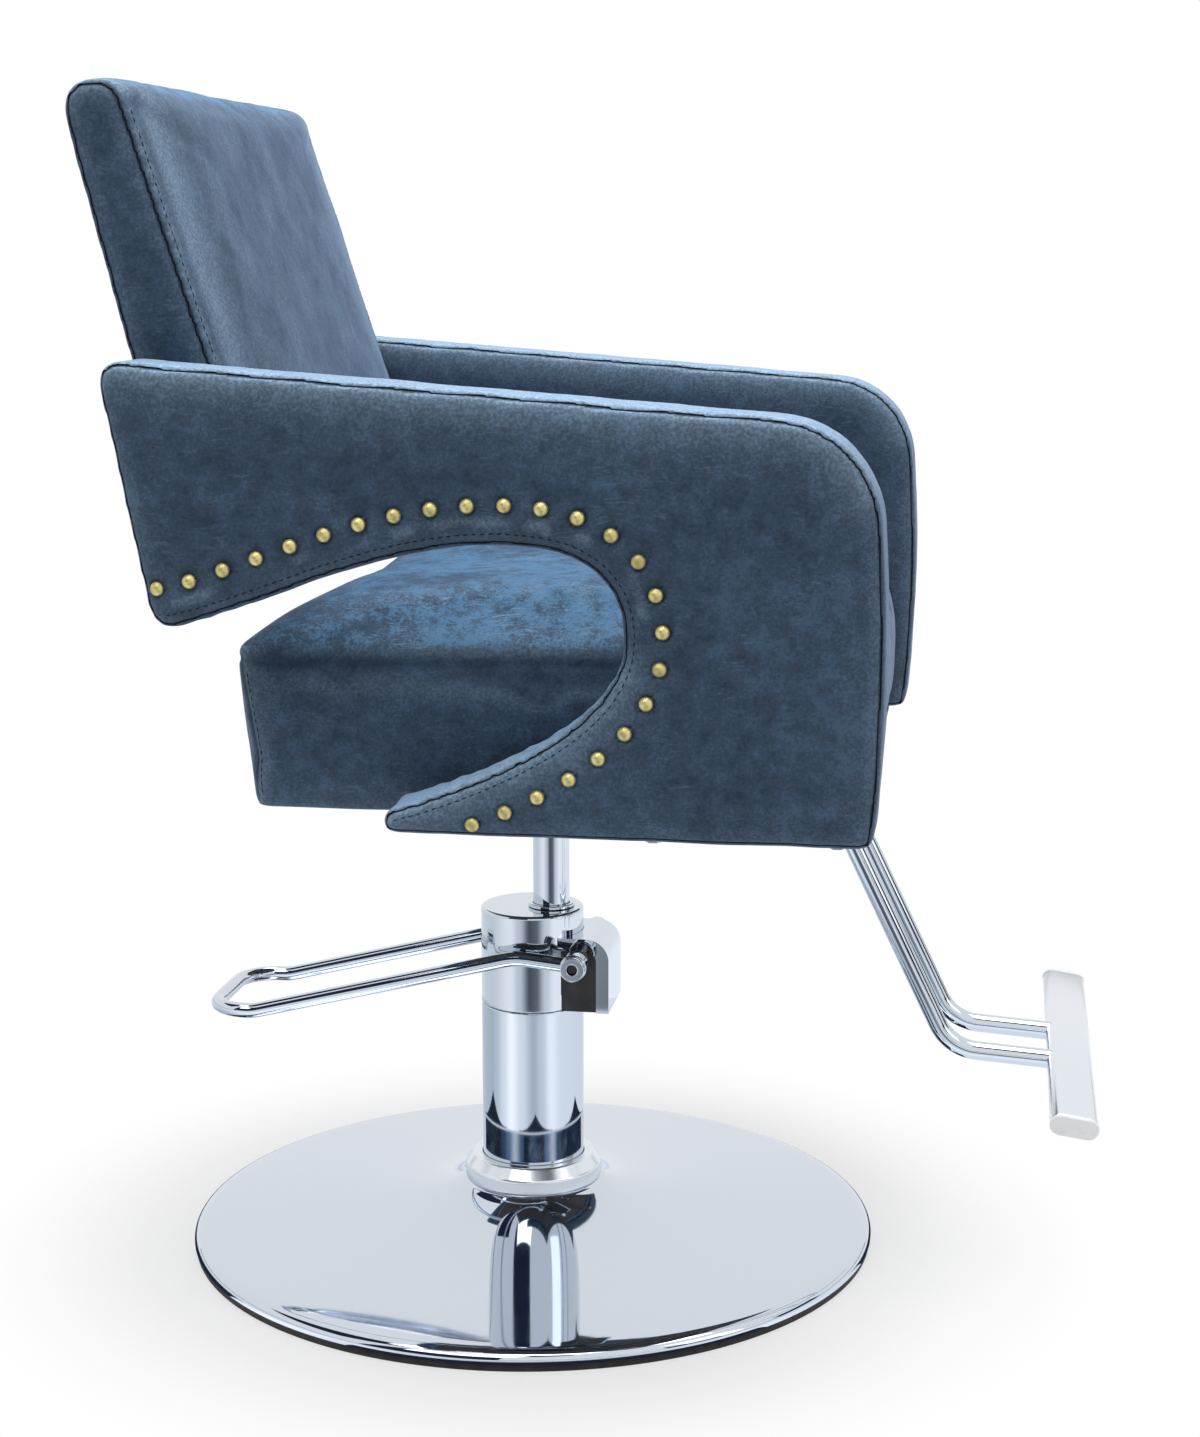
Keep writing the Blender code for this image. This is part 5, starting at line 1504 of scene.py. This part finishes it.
@dataclass
class BackCushion:
    """The leaning back cushion that tapers to its rounded top."""

    half: float = 0.2595
    bottom: float = 0.628
    top: float = 0.995
    rear_x: float = -0.2254
    front_x: float = -0.1450
    rear_lean: float = 0.2527
    front_lean: float = 0.330
    top_round: float = 0.023
    foot_round: float = 0.013
    edge: float = 0.006
    crown: float = 0.013
    crown_power: float = 12.0
    voxel: float = 0.0050
    pressure: float = 2.5
    swell_cap: float = 0.006
    groove: Flat = (0.0028, 0.0016)
    seam_inset: float = 0.0035
    stitch_inset: float = 0.007
    # Painted highlight band on the front's crest: how far in from each side it lies, and how fast it falls
    # off outwards and inwards.
    crest_highlight_inset: float = 0.030
    crest_highlight_width: Flat = (0.012, 0.038)

    def profile(self) -> list[Flat]:
        """Return the side profile, counterclockwise in x and z."""
        rise = self.top - self.bottom
        foot_rear = (self.rear_x, self.bottom)
        foot_front = (self.front_x, self.bottom)
        head_rear = (self.rear_x - self.rear_lean * rise, self.top)
        head_front = (self.front_x - self.front_lean * rise, self.top)
        loop = (foot_front, head_front, head_rear, foot_rear)
        radii = (self.foot_round, self.top_round, self.top_round, self.foot_round)
        return Workshop.even(Workshop.rounded_loop(loop, radii), 0.004)

    def faces_front(self, x: float, z: float) -> bool:
        """Tell whether a point of the profile lies on the front, away from the rounded top."""
        rear = self.rear_x - self.rear_lean * (z - self.bottom)
        return x > rear + 0.04 and z < self.top - self.top_round

    def build(self, sewing: Upholstery) -> None:
        """Build the cushion with its side seams and stitches."""
        outline = self.profile()
        slack = 0.0015
        side = self.half - slack
        form = Workshop.prism(Workshop.inset(outline, slack), -side, side, self.edge)
        cover = sewing.remeshed("back_cover", form, self.voxel)
        points = sewing.points(cover)
        normals = sewing.normals(cover)
        across = np.clip(1 - np.abs(points[:, 1] / self.half) ** self.crown_power, 0, 1)
        facing = np.clip(normals[:, 0], 0, 1)
        sewing.move(cover, points + normals * (across * facing * self.crown)[:, None])
        seams = Workshop.across(Workshop.inset(outline, self.seam_inset), (-side, side))
        edges = sewing.near(cover, seams, 0.010) * 0.95
        flank = np.clip((np.abs(points[:, 1]) - side + 0.004) / 0.003, 0, 1)
        sewing.plump(cover, self.pressure, self.swell_cap, np.maximum(edges, flank * 0.9))
        points = sewing.points(cover)
        points[:, 1] = np.clip(points[:, 1], -self.half, self.half)
        sewing.move(cover, points)
        sewing.smooth(cover, 2)
        sewing.ripple(cover, 0.07, 0.0011, 5.9)
        sewing.ripple(cover, 0.030, 0.0006, 2.2)
        sewing.refine(cover)
        line = Workshop.even(Workshop.inset(outline, self.seam_inset), sewing.FINE)
        seams = Workshop.across(line, (-side, side))
        sewing.sew(cover, *self.groove, seams)
        # Painted highlight: a pale band a little in from each side seam on the front, with random pale wear
        # patches, on front-facing points only.
        beside = np.abs(sewing.points(cover)[:, 1]) - self.half + self.crest_highlight_inset
        beside /= np.where(beside > 0, self.crest_highlight_width[0], self.crest_highlight_width[1])
        front = np.clip(sewing.normals(cover)[:, 0], 0.0, 1.0)
        clouds = np.clip(sewing.clouds(cover, 0.045) * 1.4 + 0.4, 0.0, 1.0)
        sewing.weather(cover, np.maximum(0.36 * np.exp(-(beside**2)), 0.13 * clouds) * front)
        Workshop.join_frame(cover, Body.SEAT, Slot.COVER, "back_cushion")
        sewing.cord("back_seam", cover, seams)
        front = [(x, z) for x, z in Workshop.even(outline, sewing.FINE) if self.faces_front(x, z)]
        front.sort(key=lambda point: point[1])
        row = side - self.stitch_inset
        rows = Workshop.across(front, (-row, row))
        sewing.stitches("back_stitches", cover, rows)


@dataclass
class RoundBase:
    """The chromed dish with its rolled rim, rubber ring and collar."""

    radius: float = 0.302
    ring_height: float = 0.0066
    ring_width: float = 0.009
    ring_setback: float = 0.0015
    rim_height: float = 0.0165
    rim_roll: float = 0.012
    neck_height: float = 0.0525
    sheet: float = 0.002
    collar_radius: float = 0.0605
    collar_height: float = 0.022
    collar_bevel: float = 0.0075
    column_radius: float = 0.045
    fit: float = 0.0003

    def dish(self) -> list[Flat]:
        """Return the dish's section, a closed ring of radius and height."""
        span = self.radius - self.collar_radius
        rise = self.neck_height - self.rim_height
        neck = (self.column_radius + 0.0012, self.neck_height)
        start = (self.collar_radius + 0.002, self.neck_height)
        flare = (self.collar_radius + 0.10 * span, self.rim_height + 0.40 * rise)
        belly = (self.collar_radius + 0.43 * span, self.rim_height + 0.29 * rise)
        rim = (self.radius - self.rim_roll, self.rim_height)
        foot = (self.radius, self.ring_height + self.fit)
        shell = Workshop.cubic(start, flare, belly, rim, 40)
        over = (self.radius - 0.003, rim[1] - 0.001)
        roll = Workshop.cubic(rim, over, (self.radius, rim[1] - 0.004), foot, 10)
        inside = [(foot[0] - self.sheet, foot[1])]
        inside += [(radius - 0.0004, height - self.sheet) for radius, height in reversed(shell)]
        return [neck] + shell + roll + [foot] + inside + [(neck[0], neck[1] - self.sheet)]

    def build(self, palette: Palette) -> None:
        """Build the dish, the ring and the collar."""
        dish = Workshop.spun(self.dish(), steps=160)
        Workshop.mount("base_dish_plate", dish, palette.chrome, Body.BASE, Slot.CHROME, "base_dish")
        out = self.radius - self.ring_setback
        back = out - self.ring_width
        ring = Workshop.turned(Workshop.washer(back, out, 0.0, self.ring_height), 0.001, steps=160)
        Workshop.mount(
            "base_rubber", ring, palette.rubber, Body.BASE, Slot.RUBBER, "floor_ring", sharp=40.0
        )
        low = self.neck_height + self.fit
        bore = self.column_radius + self.fit
        section = [
            (bore, low),
            (self.collar_radius, low),
            (self.collar_radius, low + self.collar_height * 0.55),
            (self.collar_radius - self.collar_bevel, low + self.collar_height),
            (bore, low + self.collar_height),
        ]
        collar = Workshop.turned(section, 0.0012, steps=96)
        Workshop.mount("base_collar_ring", collar, palette.satin, Body.BASE, Slot.CHROME, "base_collar")


@dataclass
class PumpColumn:
    """The chromed column, the pump head, the polished ram and the lever's guard."""

    radius: float = 0.045
    wall: float = 0.0025
    foot: float = 0.0053
    sleeve_top: float = 0.2135
    head_top: float = 0.300
    head_wall: float = 0.003
    head_roof: float = 0.010
    ram_x: float = 0.017
    ram_radius: float = 0.016
    ram_foot: float = 0.1266
    ram_top: float = 0.4277
    bush_flange: Flat = (0.0205, 0.0032)
    bush_wall: float = 0.0027
    cheek_out: float = 0.0325
    bracket_front: float = 0.0705
    bracket_top: float = 0.277
    bracket_bend: float = 0.017
    slot_floor: float = 0.2283
    slot_back: float = 0.026
    guard_back: float = 0.028
    guard_sheet: float = 0.0025
    guard_return: float = 0.0085
    spring_x: float = -0.026
    spring_span: Flat = (0.1914, 0.2503)
    spring_coil: float = 0.0071
    spring_wire: float = 0.0011
    spring_turns: int = 6
    spring_keep: float = 0.58
    fit: float = 0.0003

    def build(self, palette: Palette) -> None:
        """Build the sleeve, head, ram, bush, guard and spring."""
        wall = Workshop.washer(self.radius - self.wall, self.radius, self.foot, self.sleeve_top)
        sleeve = Workshop.turned(wall, 0.0008)
        Workshop.mount("column_tube", sleeve, palette.chrome, Body.BASE, Slot.CHROME, "column_sleeve")
        self.build_head(palette)
        rod = Workshop.disc(self.ram_radius, self.ram_foot, self.ram_top)
        ram = Workshop.turned(rod, 0.0015, (self.ram_x, 0.0), 96)
        Workshop.mount("ram_polished", ram, palette.chrome, Body.SEAT, Slot.CHROME, "ram_rod")
        self.build_bush(palette)
        self.build_guard(palette)
        self.build_spring(palette)

    def build_spring(self, palette: Palette) -> None:
        """Wind the plunger's spring, which the pedal presses together."""
        low, high = self.spring_span
        count = self.spring_turns * 24
        path = []
        for step in range(count + 1):
            angle = math.tau * step / 24
            x = self.spring_x + self.spring_coil * math.cos(angle)
            path.append((x, self.spring_coil * math.sin(angle), low + (high - low) * step / count))
        coil = Workshop.tube("plunger_coil", [path], self.spring_wire, palette.steel, sides=2)
        Workshop.join_frame(coil, Body.PLUNGER, Slot.STEEL, "plunger_spring")
        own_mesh(coil)

    def build_bush(self, palette: Palette) -> None:
        """Build the flanged bush round the ram."""
        slip = self.ram_radius + self.fit
        out = slip + self.bush_wall
        seat = self.head_top + self.fit
        under = self.head_top - self.head_roof
        flange, rise = self.bush_flange
        brim = seat + rise
        section = [(slip, brim), (flange, brim), (flange, seat), (out, seat), (out, under), (slip, under)]
        bush = Workshop.turned(section, 0.0009, (self.ram_x, 0.0), 96)
        Workshop.mount("ram_bush", bush, palette.chrome, Body.BASE, Slot.CHROME, "rod_bush")

    def build_head(self, palette: Palette) -> None:
        """Build the head cap with its lever slot and ram hole."""
        radius = self.radius + self.fit / 2
        low = self.sleeve_top + self.fit
        inner = radius - self.head_wall
        under = self.head_top - self.head_roof
        section = [(0.0, self.head_top), (radius, self.head_top), (radius, low)]
        section += [(inner, low), (inner, under), (0.0, under)]
        cap = Workshop.turned(section, 0.0028, arc=5)
        head = Workshop.piece("pump_head_cap", cap, palette.chrome, 30.0)
        top = self.bracket_top + self.fit
        half = self.cheek_out + self.fit
        corners = ((self.slot_back, -half, self.slot_floor), (1.1 * self.bracket_front, half, top))
        Workshop.carve(head, Workshop.box(*corners))
        bore = self.ram_radius + self.bush_wall + 2 * self.fit
        hole = Workshop.disc(bore, under - 0.01, self.head_top + 0.01)
        Workshop.carve(head, Workshop.spun(hole, (self.ram_x, 0.0), 96))
        Workshop.join_frame(head, Body.BASE, Slot.CHROME, "pump_head")

    def build_guard(self, palette: Palette) -> None:
        """Fold the strip over the lever's bracket, with a return on each side."""
        low = self.sleeve_top + self.fit
        front = self.bracket_front + self.fit
        top = self.bracket_top + self.fit
        corners = [(front, 0.0, low), (front, 0.0, top), (self.guard_back, 0.0, top)]
        path = Workshop.bent(corners, [self.bracket_bend + self.fit], 0.0015)
        half = self.cheek_out + self.fit
        bm = bmesh.new()
        verts = [bm.verts.new((x, -half, z)) for x, _, z in path]
        edges = [bm.edges.new(pair) for pair in zip(verts, verts[1:])]
        grown = bmesh.ops.extrude_edge_only(bm, edges=edges)
        moved = [item for item in grown["geom"] if isinstance(item, bmesh.types.BMVert)]
        bmesh.ops.translate(bm, vec=(0, 2 * half, 0), verts=moved)
        bmesh.ops.recalc_face_normals(bm, faces=bm.faces)
        if sum(face.normal.x + face.normal.z for face in bm.faces) < 0:
            bmesh.ops.reverse_faces(bm, faces=bm.faces)
        bm.normal_update()
        sides = [item for item in bm.edges if abs(item.verts[0].co.y - item.verts[1].co.y) < 1e-6]
        inward = {vert.co.copy().freeze(): vert.normal * -self.guard_return for vert in bm.verts}
        grown = bmesh.ops.extrude_edge_only(bm, edges=sides)
        for item in grown["geom"]:
            if isinstance(item, bmesh.types.BMVert):
                item.co += inward[item.co.copy().freeze()]
        bmesh.ops.recalc_face_normals(bm, faces=bm.faces)
        if sum(face.normal.x * face.calc_area() for face in bm.faces) < 0:
            bmesh.ops.reverse_faces(bm, faces=bm.faces)
        bmesh.ops.solidify(bm, geom=bm.faces, thickness=-self.guard_sheet)
        bmesh.ops.recalc_face_normals(bm, faces=bm.faces)
        guard = Workshop.piece("lever_guard_strip", bm, palette.chrome, 30.0)
        around = Workshop.disc(self.radius + self.fit * 1.5, 0.18, 0.33)
        Workshop.carve(guard, Workshop.spun(around, steps=128))
        Workshop.join_frame(guard, Body.BASE, Slot.CHROME, "lever_guard")


@dataclass
class FootPedal:
    """The U-shaped chrome foot lever and its pivot bolts."""

    pivot: Flat = (0.047, 0.262)
    leg_y: float = 0.0585
    bar: float = 0.0065
    front_x: float = 0.058
    crest: Flat = (-0.004, 0.2675)
    dip_x: float = -0.239
    end: Flat = (-0.279, 0.209)
    leg_bends: Flat = (0.060, 0.045)
    loop_bend: float = 0.032
    eye: float = 0.0115
    bolt_head: float = 0.0105
    bolt_thick: float = 0.0055
    bolt_radius: float = 0.004
    bolt_reach: float = 0.024
    socket_radius: float = 0.0046
    socket_depth: float = 0.0035
    fit: float = 0.0003

    def build(self, palette: Palette) -> None:
        """Build the bar with its eyes, and the bolts."""
        y = self.leg_y
        leg = [
            (self.front_x, -y, self.pivot[1] - 0.001),
            (self.crest[0], -y, self.crest[1]),
            (self.dip_x, -y, self.end[1]),
            (self.end[0], -y, self.end[1]),
        ]
        corners = leg + [(x, -side, z) for x, side, z in reversed(leg)]
        bends = (*self.leg_bends, self.loop_bend, self.loop_bend, *reversed(self.leg_bends))
        bar = Workshop.tube("pedal_loop", [Workshop.bent(corners, bends)], self.bar, palette.chrome)
        Workshop.join_frame(bar, Body.PEDAL, Slot.CHROME, "pedal_bar")
        low = y - self.bar - 0.0005
        high = y + self.bar
        for side in Side:
            ring = Workshop.washer(self.bolt_radius + self.fit, self.eye, low, high)
            eye = Workshop.turned(ring, 0.0012, steps=64)
            self.turn_out(eye, side)
            Workshop.mount(f"pedal_eye_{side.label}", eye, palette.chrome, Body.PEDAL, Slot.CHROME)
            self.build_bolt(palette, side, high + self.fit)

    def build_bolt(self, palette: Palette, side: Side, face: float) -> None:
        """Build one socket bolt.

        Args:
            palette: The chair's finishes.
            side: Which side it is on.
            face: How far out its head sits.
        """
        top = face + self.bolt_thick
        floor = top - self.socket_depth
        shape = [
            (0.0, floor),
            (self.socket_radius, floor),
            (self.socket_radius, top),
            (self.bolt_head, top),
            (self.bolt_head, face),
            (self.bolt_radius, face),
            (self.bolt_radius, face - self.bolt_reach),
            (0.0, face - self.bolt_reach),
        ]
        bolt = Workshop.turned(shape, 0.0008, steps=60)
        self.turn_out(bolt, side)
        label = side.label
        node = f"pivot_bolt_{label}"
        name = f"pedal_bolt_{label}"
        Workshop.mount(name, bolt, palette.chrome, Body.PEDAL, Slot.CHROME, node, sharp=40.0)
        hollow = Workshop.disc(self.socket_radius - 0.0001, floor + 0.0001, floor + 0.0005)
        socket = Workshop.spun(hollow, steps=6)
        self.turn_out(socket, side)
        name = f"pedal_bolt_socket_{label}"
        Workshop.mount(name, socket, palette.paint, Body.PEDAL, Slot.PAINT, sharp=40.0)

    def turn_out(self, bm: Shape, side: Side) -> None:
        """Turn a spun shape so that its axis runs outwards through the pivot."""
        turn = Matrix.Rotation(-side.value * math.pi / 2, 4, "X")
        place = Matrix.Translation((self.pivot[0], 0.0, self.pivot[1]))
        bmesh.ops.transform(bm, matrix=place @ turn, verts=bm.verts)


@dataclass
class Footrest:
    """The T-shaped footrest: two bent tubes, a flat oval bar and its caps."""

    tube_radius: float = 0.0080
    tube_y: float = 0.040
    tube_top: Flat = (0.2555, 0.4307)
    tube_bend: Flat = (0.367, 0.200)
    bend_radius: float = 0.040
    bar_at: Flat = (0.468, 0.193)
    bar_half: float = 0.203
    bar_width: float = 0.038
    bar_height: float = 0.016
    bar_tilt: float = math.radians(8.0)
    cap_thick: float = 0.005

    def oval(self, grow: float, steps: int = 14) -> list[Flat]:
        """Return the bar's flat oval section, larger by an amount all round."""
        radius = self.bar_height / 2 + grow
        run = self.bar_width / 2 - self.bar_height / 2
        points = []
        for centre, start in ((run, -math.pi / 2), (-run, math.pi / 2)):
            for step in range(steps + 1):
                angle = start + math.pi * step / steps
                points.append((centre + radius * math.cos(angle), radius * math.sin(angle)))
        return points

    def place(self, bm: Shape) -> None:
        """Tilt a shape made about the origin and put it at the bar's place."""
        turn = Matrix.Rotation(self.bar_tilt, 4, "Y")
        spot = Matrix.Translation((self.bar_at[0], 0.0, self.bar_at[1]))
        bmesh.ops.transform(bm, matrix=spot @ turn, verts=bm.verts)

    def build(self, palette: Palette) -> None:
        """Build the tubes, the bar and the caps."""
        for side in Side:
            y = side.value * self.tube_y
            corners = [
                (self.tube_top[0], y, self.tube_top[1]),
                (self.tube_bend[0], y, self.tube_bend[1]),
                (self.bar_at[0] - 0.014, y, self.bar_at[1] + 0.0010),
            ]
            path = Workshop.bent(corners, [self.bend_radius])
            tube = Workshop.tube(f"footrest_leg_{side.label}", [path], self.tube_radius, palette.chrome)
            Workshop.join_frame(tube, Body.SEAT, Slot.CHROME, f"footrest_tube_{side.label}")
        bar = Workshop.prism(self.oval(0.0), -self.bar_half, self.bar_half, 0.0006)
        self.place(bar)
        Workshop.mount("footrest_crossbar", bar, palette.satin, Body.SEAT, Slot.CHROME, "footrest_bar")
        for side in Side:
            ends = sorted(side.value * (self.bar_half + out) for out in (0.0003, self.cap_thick))
            cap = Workshop.prism(self.oval(0.0004), ends[0], ends[1], 0.0016)
            self.place(cap)
            name = f"footrest_plug_{side.label}"
            node = f"footrest_cap_{side.label}"
            Workshop.mount(name, cap, palette.plastic, Body.SEAT, Slot.PLASTIC, node)


@dataclass
class Studio:
    """The camera, the pale floor, the soft light and the boards that the chrome mirrors."""

    width: int = 1200
    height: int = 1437
    focal: float = 2530.0
    distance: float = 2.2
    azimuth: float = math.radians(9.0)
    pitch: float = math.radians(10.5)
    target: Point = (0.0, 0.0, 0.45)
    target_pixel: Flat = (531.5, 737.0)
    surround: float = 0.38
    shadow_reach: Flat = (0.30, 0.52)
    wall: float = 3.1
    beside_base: float = 0.304
    dark: tuple[Flat, Flat] = ((-180.0, 0.05), (180.0, 0.05))

    def camera(self) -> None:
        """Place the camera where the target falls on its pixel."""
        data = bpy.data.cameras.new("view")
        data.sensor_fit = "HORIZONTAL"
        data.sensor_width = 36.0
        data.lens = 36.0 * self.focal / self.width
        data.clip_end = 100.0
        flat = math.cos(self.pitch)
        side, depth = math.sin(self.azimuth) * flat, math.cos(self.azimuth) * flat
        ahead = Vector((-side, depth, -math.sin(self.pitch)))
        right = Vector((math.cos(self.azimuth), math.sin(self.azimuth), 0.0))
        up = right.cross(ahead)
        shift_x = (self.target_pixel[0] - self.width / 2) / self.focal
        shift_y = (self.target_pixel[1] - self.height / 2) / self.focal
        place = Vector(self.target) - self.distance * (ahead + right * shift_x - up * shift_y)
        obj = bpy.data.objects.new("view", data)
        bpy.context.scene.collection.objects.link(obj)
        obj.location = place
        obj.rotation_euler = Matrix((right, up, -ahead)).transposed().to_euler()
        bpy.context.scene.camera = obj

    def floor(self) -> None:
        """Lay a pale floor that fades into the white ground."""
        bm = bmesh.new()
        bmesh.ops.create_grid(bm, x_segments=1, y_segments=1, size=12.0)
        canvas, shader, where, material = Finish("pale_floor", (0.92, 0.92, 0.92), 0.6).start()
        shader.inputs["Specular IOR Level"].default_value = 0.1
        reach = canvas.add("ShaderNodeVectorMath", {0: where}, operation="LENGTH").outputs["Value"]
        away = canvas.span(reach, self.shadow_reach[0], self.shadow_reach[1], 0.58, 1.0)
        white = canvas.add("ShaderNodeEmission", {"Color": (1.0, 1.0, 1.0, 1.0), "Strength": 1.0})
        mixed = canvas.add("ShaderNodeMixShader", {0: canvas.math("MULTIPLY", away, self.seen(canvas))})
        canvas.feed(mixed.inputs[1], shader.outputs[0])
        canvas.feed(mixed.inputs[2], white.outputs[0])
        canvas.feed(material.node_tree.nodes["Material Output"].inputs["Surface"], mixed.outputs[0])
        Workshop.piece("floor", bm, material)

    @staticmethod
    def seen(canvas: Canvas) -> Socket:
        """Return 1 for rays of the view, of mirrors and of glass, and 0 for the light's own."""
        rays = canvas.add("ShaderNodeLightPath")
        direct = canvas.math("MAXIMUM", rays.outputs["Is Camera Ray"], rays.outputs["Is Glossy Ray"])
        return canvas.math("MAXIMUM", direct, rays.outputs["Is Transmission Ray"])

    def lamp(self, name: str, place: Point, aim: Point, size: Flat, power: float) -> None:
        """Hang one soft area lamp."""
        data = bpy.data.lights.new(name, "AREA")
        data.shape = "RECTANGLE"
        data.size, data.size_y = size
        data.energy = power
        obj = bpy.data.objects.new(name, data)
        bpy.context.scene.collection.objects.link(obj)
        obj.location = place
        obj.rotation_euler = (Vector(aim) - Vector(place)).to_track_quat("-Z", "Y").to_euler()

    def board(
        self, name: str, edge: tuple[Flat, Flat], turn: Flat, shade: Sequence[Flat], tint: Point
    ) -> None:
        """Stand or lay a curved board round the set, which only the polished metal sees.

        Args:
            name: The board's name.
            edge: Radius and height of its two long edges.
            turn: The angles in degrees where it starts and ends.
            shade: Angles in degrees with the brightness there.
            tint: Its colour.
        """
        start, end = (math.radians(angle) for angle in turn)
        bm = bmesh.new()
        verts = [bm.verts.new((far * math.cos(start), far * math.sin(start), z)) for far, z in edge]
        line = bm.edges.new(verts)
        centre = (0, 0, 0)
        bmesh.ops.spin(bm, geom=verts + [line], cent=centre, axis=(0, 0, 1), angle=end - start, steps=48)
        self.hang(name, bm, shade, tint)

    def arch(self, name: str, middle: float, half: float, tip: float, tint: Point) -> None:
        """Lay a dark pointed patch beside the base, which the column's foot mirrors.

        Args:
            name: The patch's name.
            middle: The angle it points along.
            half: Half its width as an angle.
            tip: How far from the column it ends.
            tint: Its colour.
        """
        hidden = 0.336
        height = 0.0018
        rim = []
        for step in range(-12, 13):
            part = step / 12
            reach = hidden + (tip - hidden) * (1 - abs(part)) ** 2.6
            rim.append((middle + half * part, reach))
        corners = rim + [(angle, self.beside_base) for angle, _ in reversed(rim)]
        bm = bmesh.new()
        spots = [(reach * math.cos(turn), reach * math.sin(turn), height) for turn, reach in corners]
        bm.faces.new([bm.verts.new(spot) for spot in spots])
        self.hang(name, bm, self.dark, tint)

    @staticmethod
    def hang(name: str, bm: Shape, shade: Sequence[Flat], tint: Point) -> None:
        """Give a board its glow, with bluer dark parts, and hide it from all but mirrors.

        Args:
            name: The board's name.
            bm: Its shape.
            shade: Angles in degrees with the brightness there.
            tint: Its colour.
        """
        material = bpy.data.materials.new(name)
        material.use_nodes = True
        canvas = Canvas(material.node_tree)
        where = canvas.add("ShaderNodeTexCoord").outputs["Object"]
        round_set = canvas.add("ShaderNodeTexGradient", {"Vector": where}, gradient_type="RADIAL")
        ramp = canvas.add("ShaderNodeValToRGB", {"Fac": round_set.outputs["Fac"]})
        ramp.color_ramp.interpolation = "EASE"
        top = max(value for _, value in shade)
        for number, (angle, value) in enumerate(shade):
            stops = ramp.color_ramp.elements
            stop = stops[number] if number < 2 else stops.new(0.5)
            stop.position = angle / 360.0 + 0.5
            share = value / top
            stop.color = (*(share * part ** (13 - 12 * share) for part in tint), 1.0)
        glow = canvas.add("ShaderNodeEmission", {"Color": ramp.outputs["Color"], "Strength": top})
        canvas.feed(material.node_tree.nodes["Material Output"].inputs["Surface"], glow.outputs[0])
        board = Workshop.piece(name, bm, material)
        board.visible_camera = False
        board.visible_diffuse = False
        board.visible_shadow = False

    def light(self) -> None:
        """Set the white surround and the lamps."""
        world = bpy.data.worlds.new("surround")
        bpy.context.scene.world = world
        world.use_nodes = True
        canvas = Canvas(world.node_tree)
        extra = canvas.math("MULTIPLY", self.seen(canvas), 1.0 - self.surround)
        ground = world.node_tree.nodes["Background"]
        ground.inputs["Color"].default_value = (1.0, 1.0, 1.0, 1.0)
        canvas.feed(ground.inputs["Strength"], canvas.math("ADD", extra, self.surround))
        self.lamp("key", (-0.6, -1.9, 2.6), (0.0, 0.0, 0.55), (1.6, 1.2), 17.0)
        self.lamp("top", (0.1, 0.2, 2.8), (0.0, 0.0, 0.5), (2.2, 2.0), 52.0)
        self.lamp("front", (2.3, -0.9, 1.5), (0.1, 0.0, 0.5), (1.0, 1.4), 5.0)

    def boards(self) -> None:
        """Stand dark and streaked boards round the set, and lay dark and graded ones on the floor."""
        navy = (0.35, 0.55, 1.0)
        white = (0.97, 0.985, 1.0)
        sky = (0.89, 0.945, 1.0)
        screens = (
            ("left_rear", (152.0, 205.0), 2.90, 7.00),
            ("view_left", (-134.0, -90.0), 0.60, 4.20),
            ("view_high", (-92.0, -62.0), 4.20, 9.00),
            ("side_near", (-39.0, -20.0), 0.60, 1.30),
            ("side_far", (2.0, 22.0), 0.60, 1.30),
        )
        for name, turn, low, high in screens:
            self.board(f"{name}_board", ((self.wall, low), (self.wall, high)), turn, self.dark, navy)
        streaks = (
            (-180.0, 0.05), (-165.0, 0.04), (-150.0, 0.16), (-138.0, 0.36), (-122.0, 0.90),
            (-106.0, 0.30), (-98.0, 0.05), (-86.0, 0.10), (-77.0, 0.20), (-68.0, 0.08),
            (-59.0, 0.06), (-49.0, 0.42), (-35.0, 0.90), (-22.0, 0.22), (-8.0, 0.07),
            (3.0, 0.04), (14.0, 0.22), (24.0, 0.28), (34.0, 0.07), (180.0, 0.05),
        )
        self.board("low_board", ((self.wall, 0.48), (self.wall, 0.60)), (-219.0, 60.0), streaks, sky)
        arches = ((-179.0, 40.0, 0.430), (-75.0, 36.0, 0.387), (26.0, 34.0, 0.407))
        for number, (middle, half, tip) in enumerate(arches):
            self.arch(f"arch_board_{number}", math.radians(middle), math.radians(half), tip, navy)
        grades = (
            (-180.0, 0.72), (-167.0, 0.81), (-147.0, 1.10), (-128.0, 1.42), (-105.0, 1.10),
            (-78.0, 0.70), (-60.0, 0.92), (-40.0, 1.30), (-14.0, 1.10), (14.0, 0.86),
            (53.0, 0.68), (132.0, 0.58), (180.0, 0.72),
        )
        outer = (
            (-180.0, 0.90), (-128.0, 1.15), (-110.0, 0.85), (-86.0, 0.14), (-72.0, 0.20),
            (-50.0, 0.90), (-30.0, 1.20), (60.0, 0.80), (180.0, 0.90),
        )
        laid = (("graded_board", self.beside_base, 0.735, grades), ("far_board", 0.735, 2.6, outer))
        for name, near, far, shade in laid:
            self.board(name, ((near, 0.001), (far, 0.001)), (-180.0, 180.0), shade, white)

    def build(self) -> None:
        """Set up the whole studio."""
        scene = bpy.context.scene
        scene.view_settings.view_transform = "Standard"
        self.camera()
        self.floor()
        self.light()
        self.boards()
        LOG.info("studio ready")


def main() -> None:
    """Build the chair and its studio."""
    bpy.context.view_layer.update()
    Studio().build()
    palette = Palette()
    palette.dress_frame()
    sewing = Upholstery(palette)
    for side in Side:
        ArmPanel(side).build(sewing)
    SeatCushion().build(sewing)
    BackCushion().build(sewing)
    RoundBase().build(palette)
    PumpColumn().build(palette)
    FootPedal().build(palette)
    Footrest().build(palette)


if __name__ == "__main__":
    main()
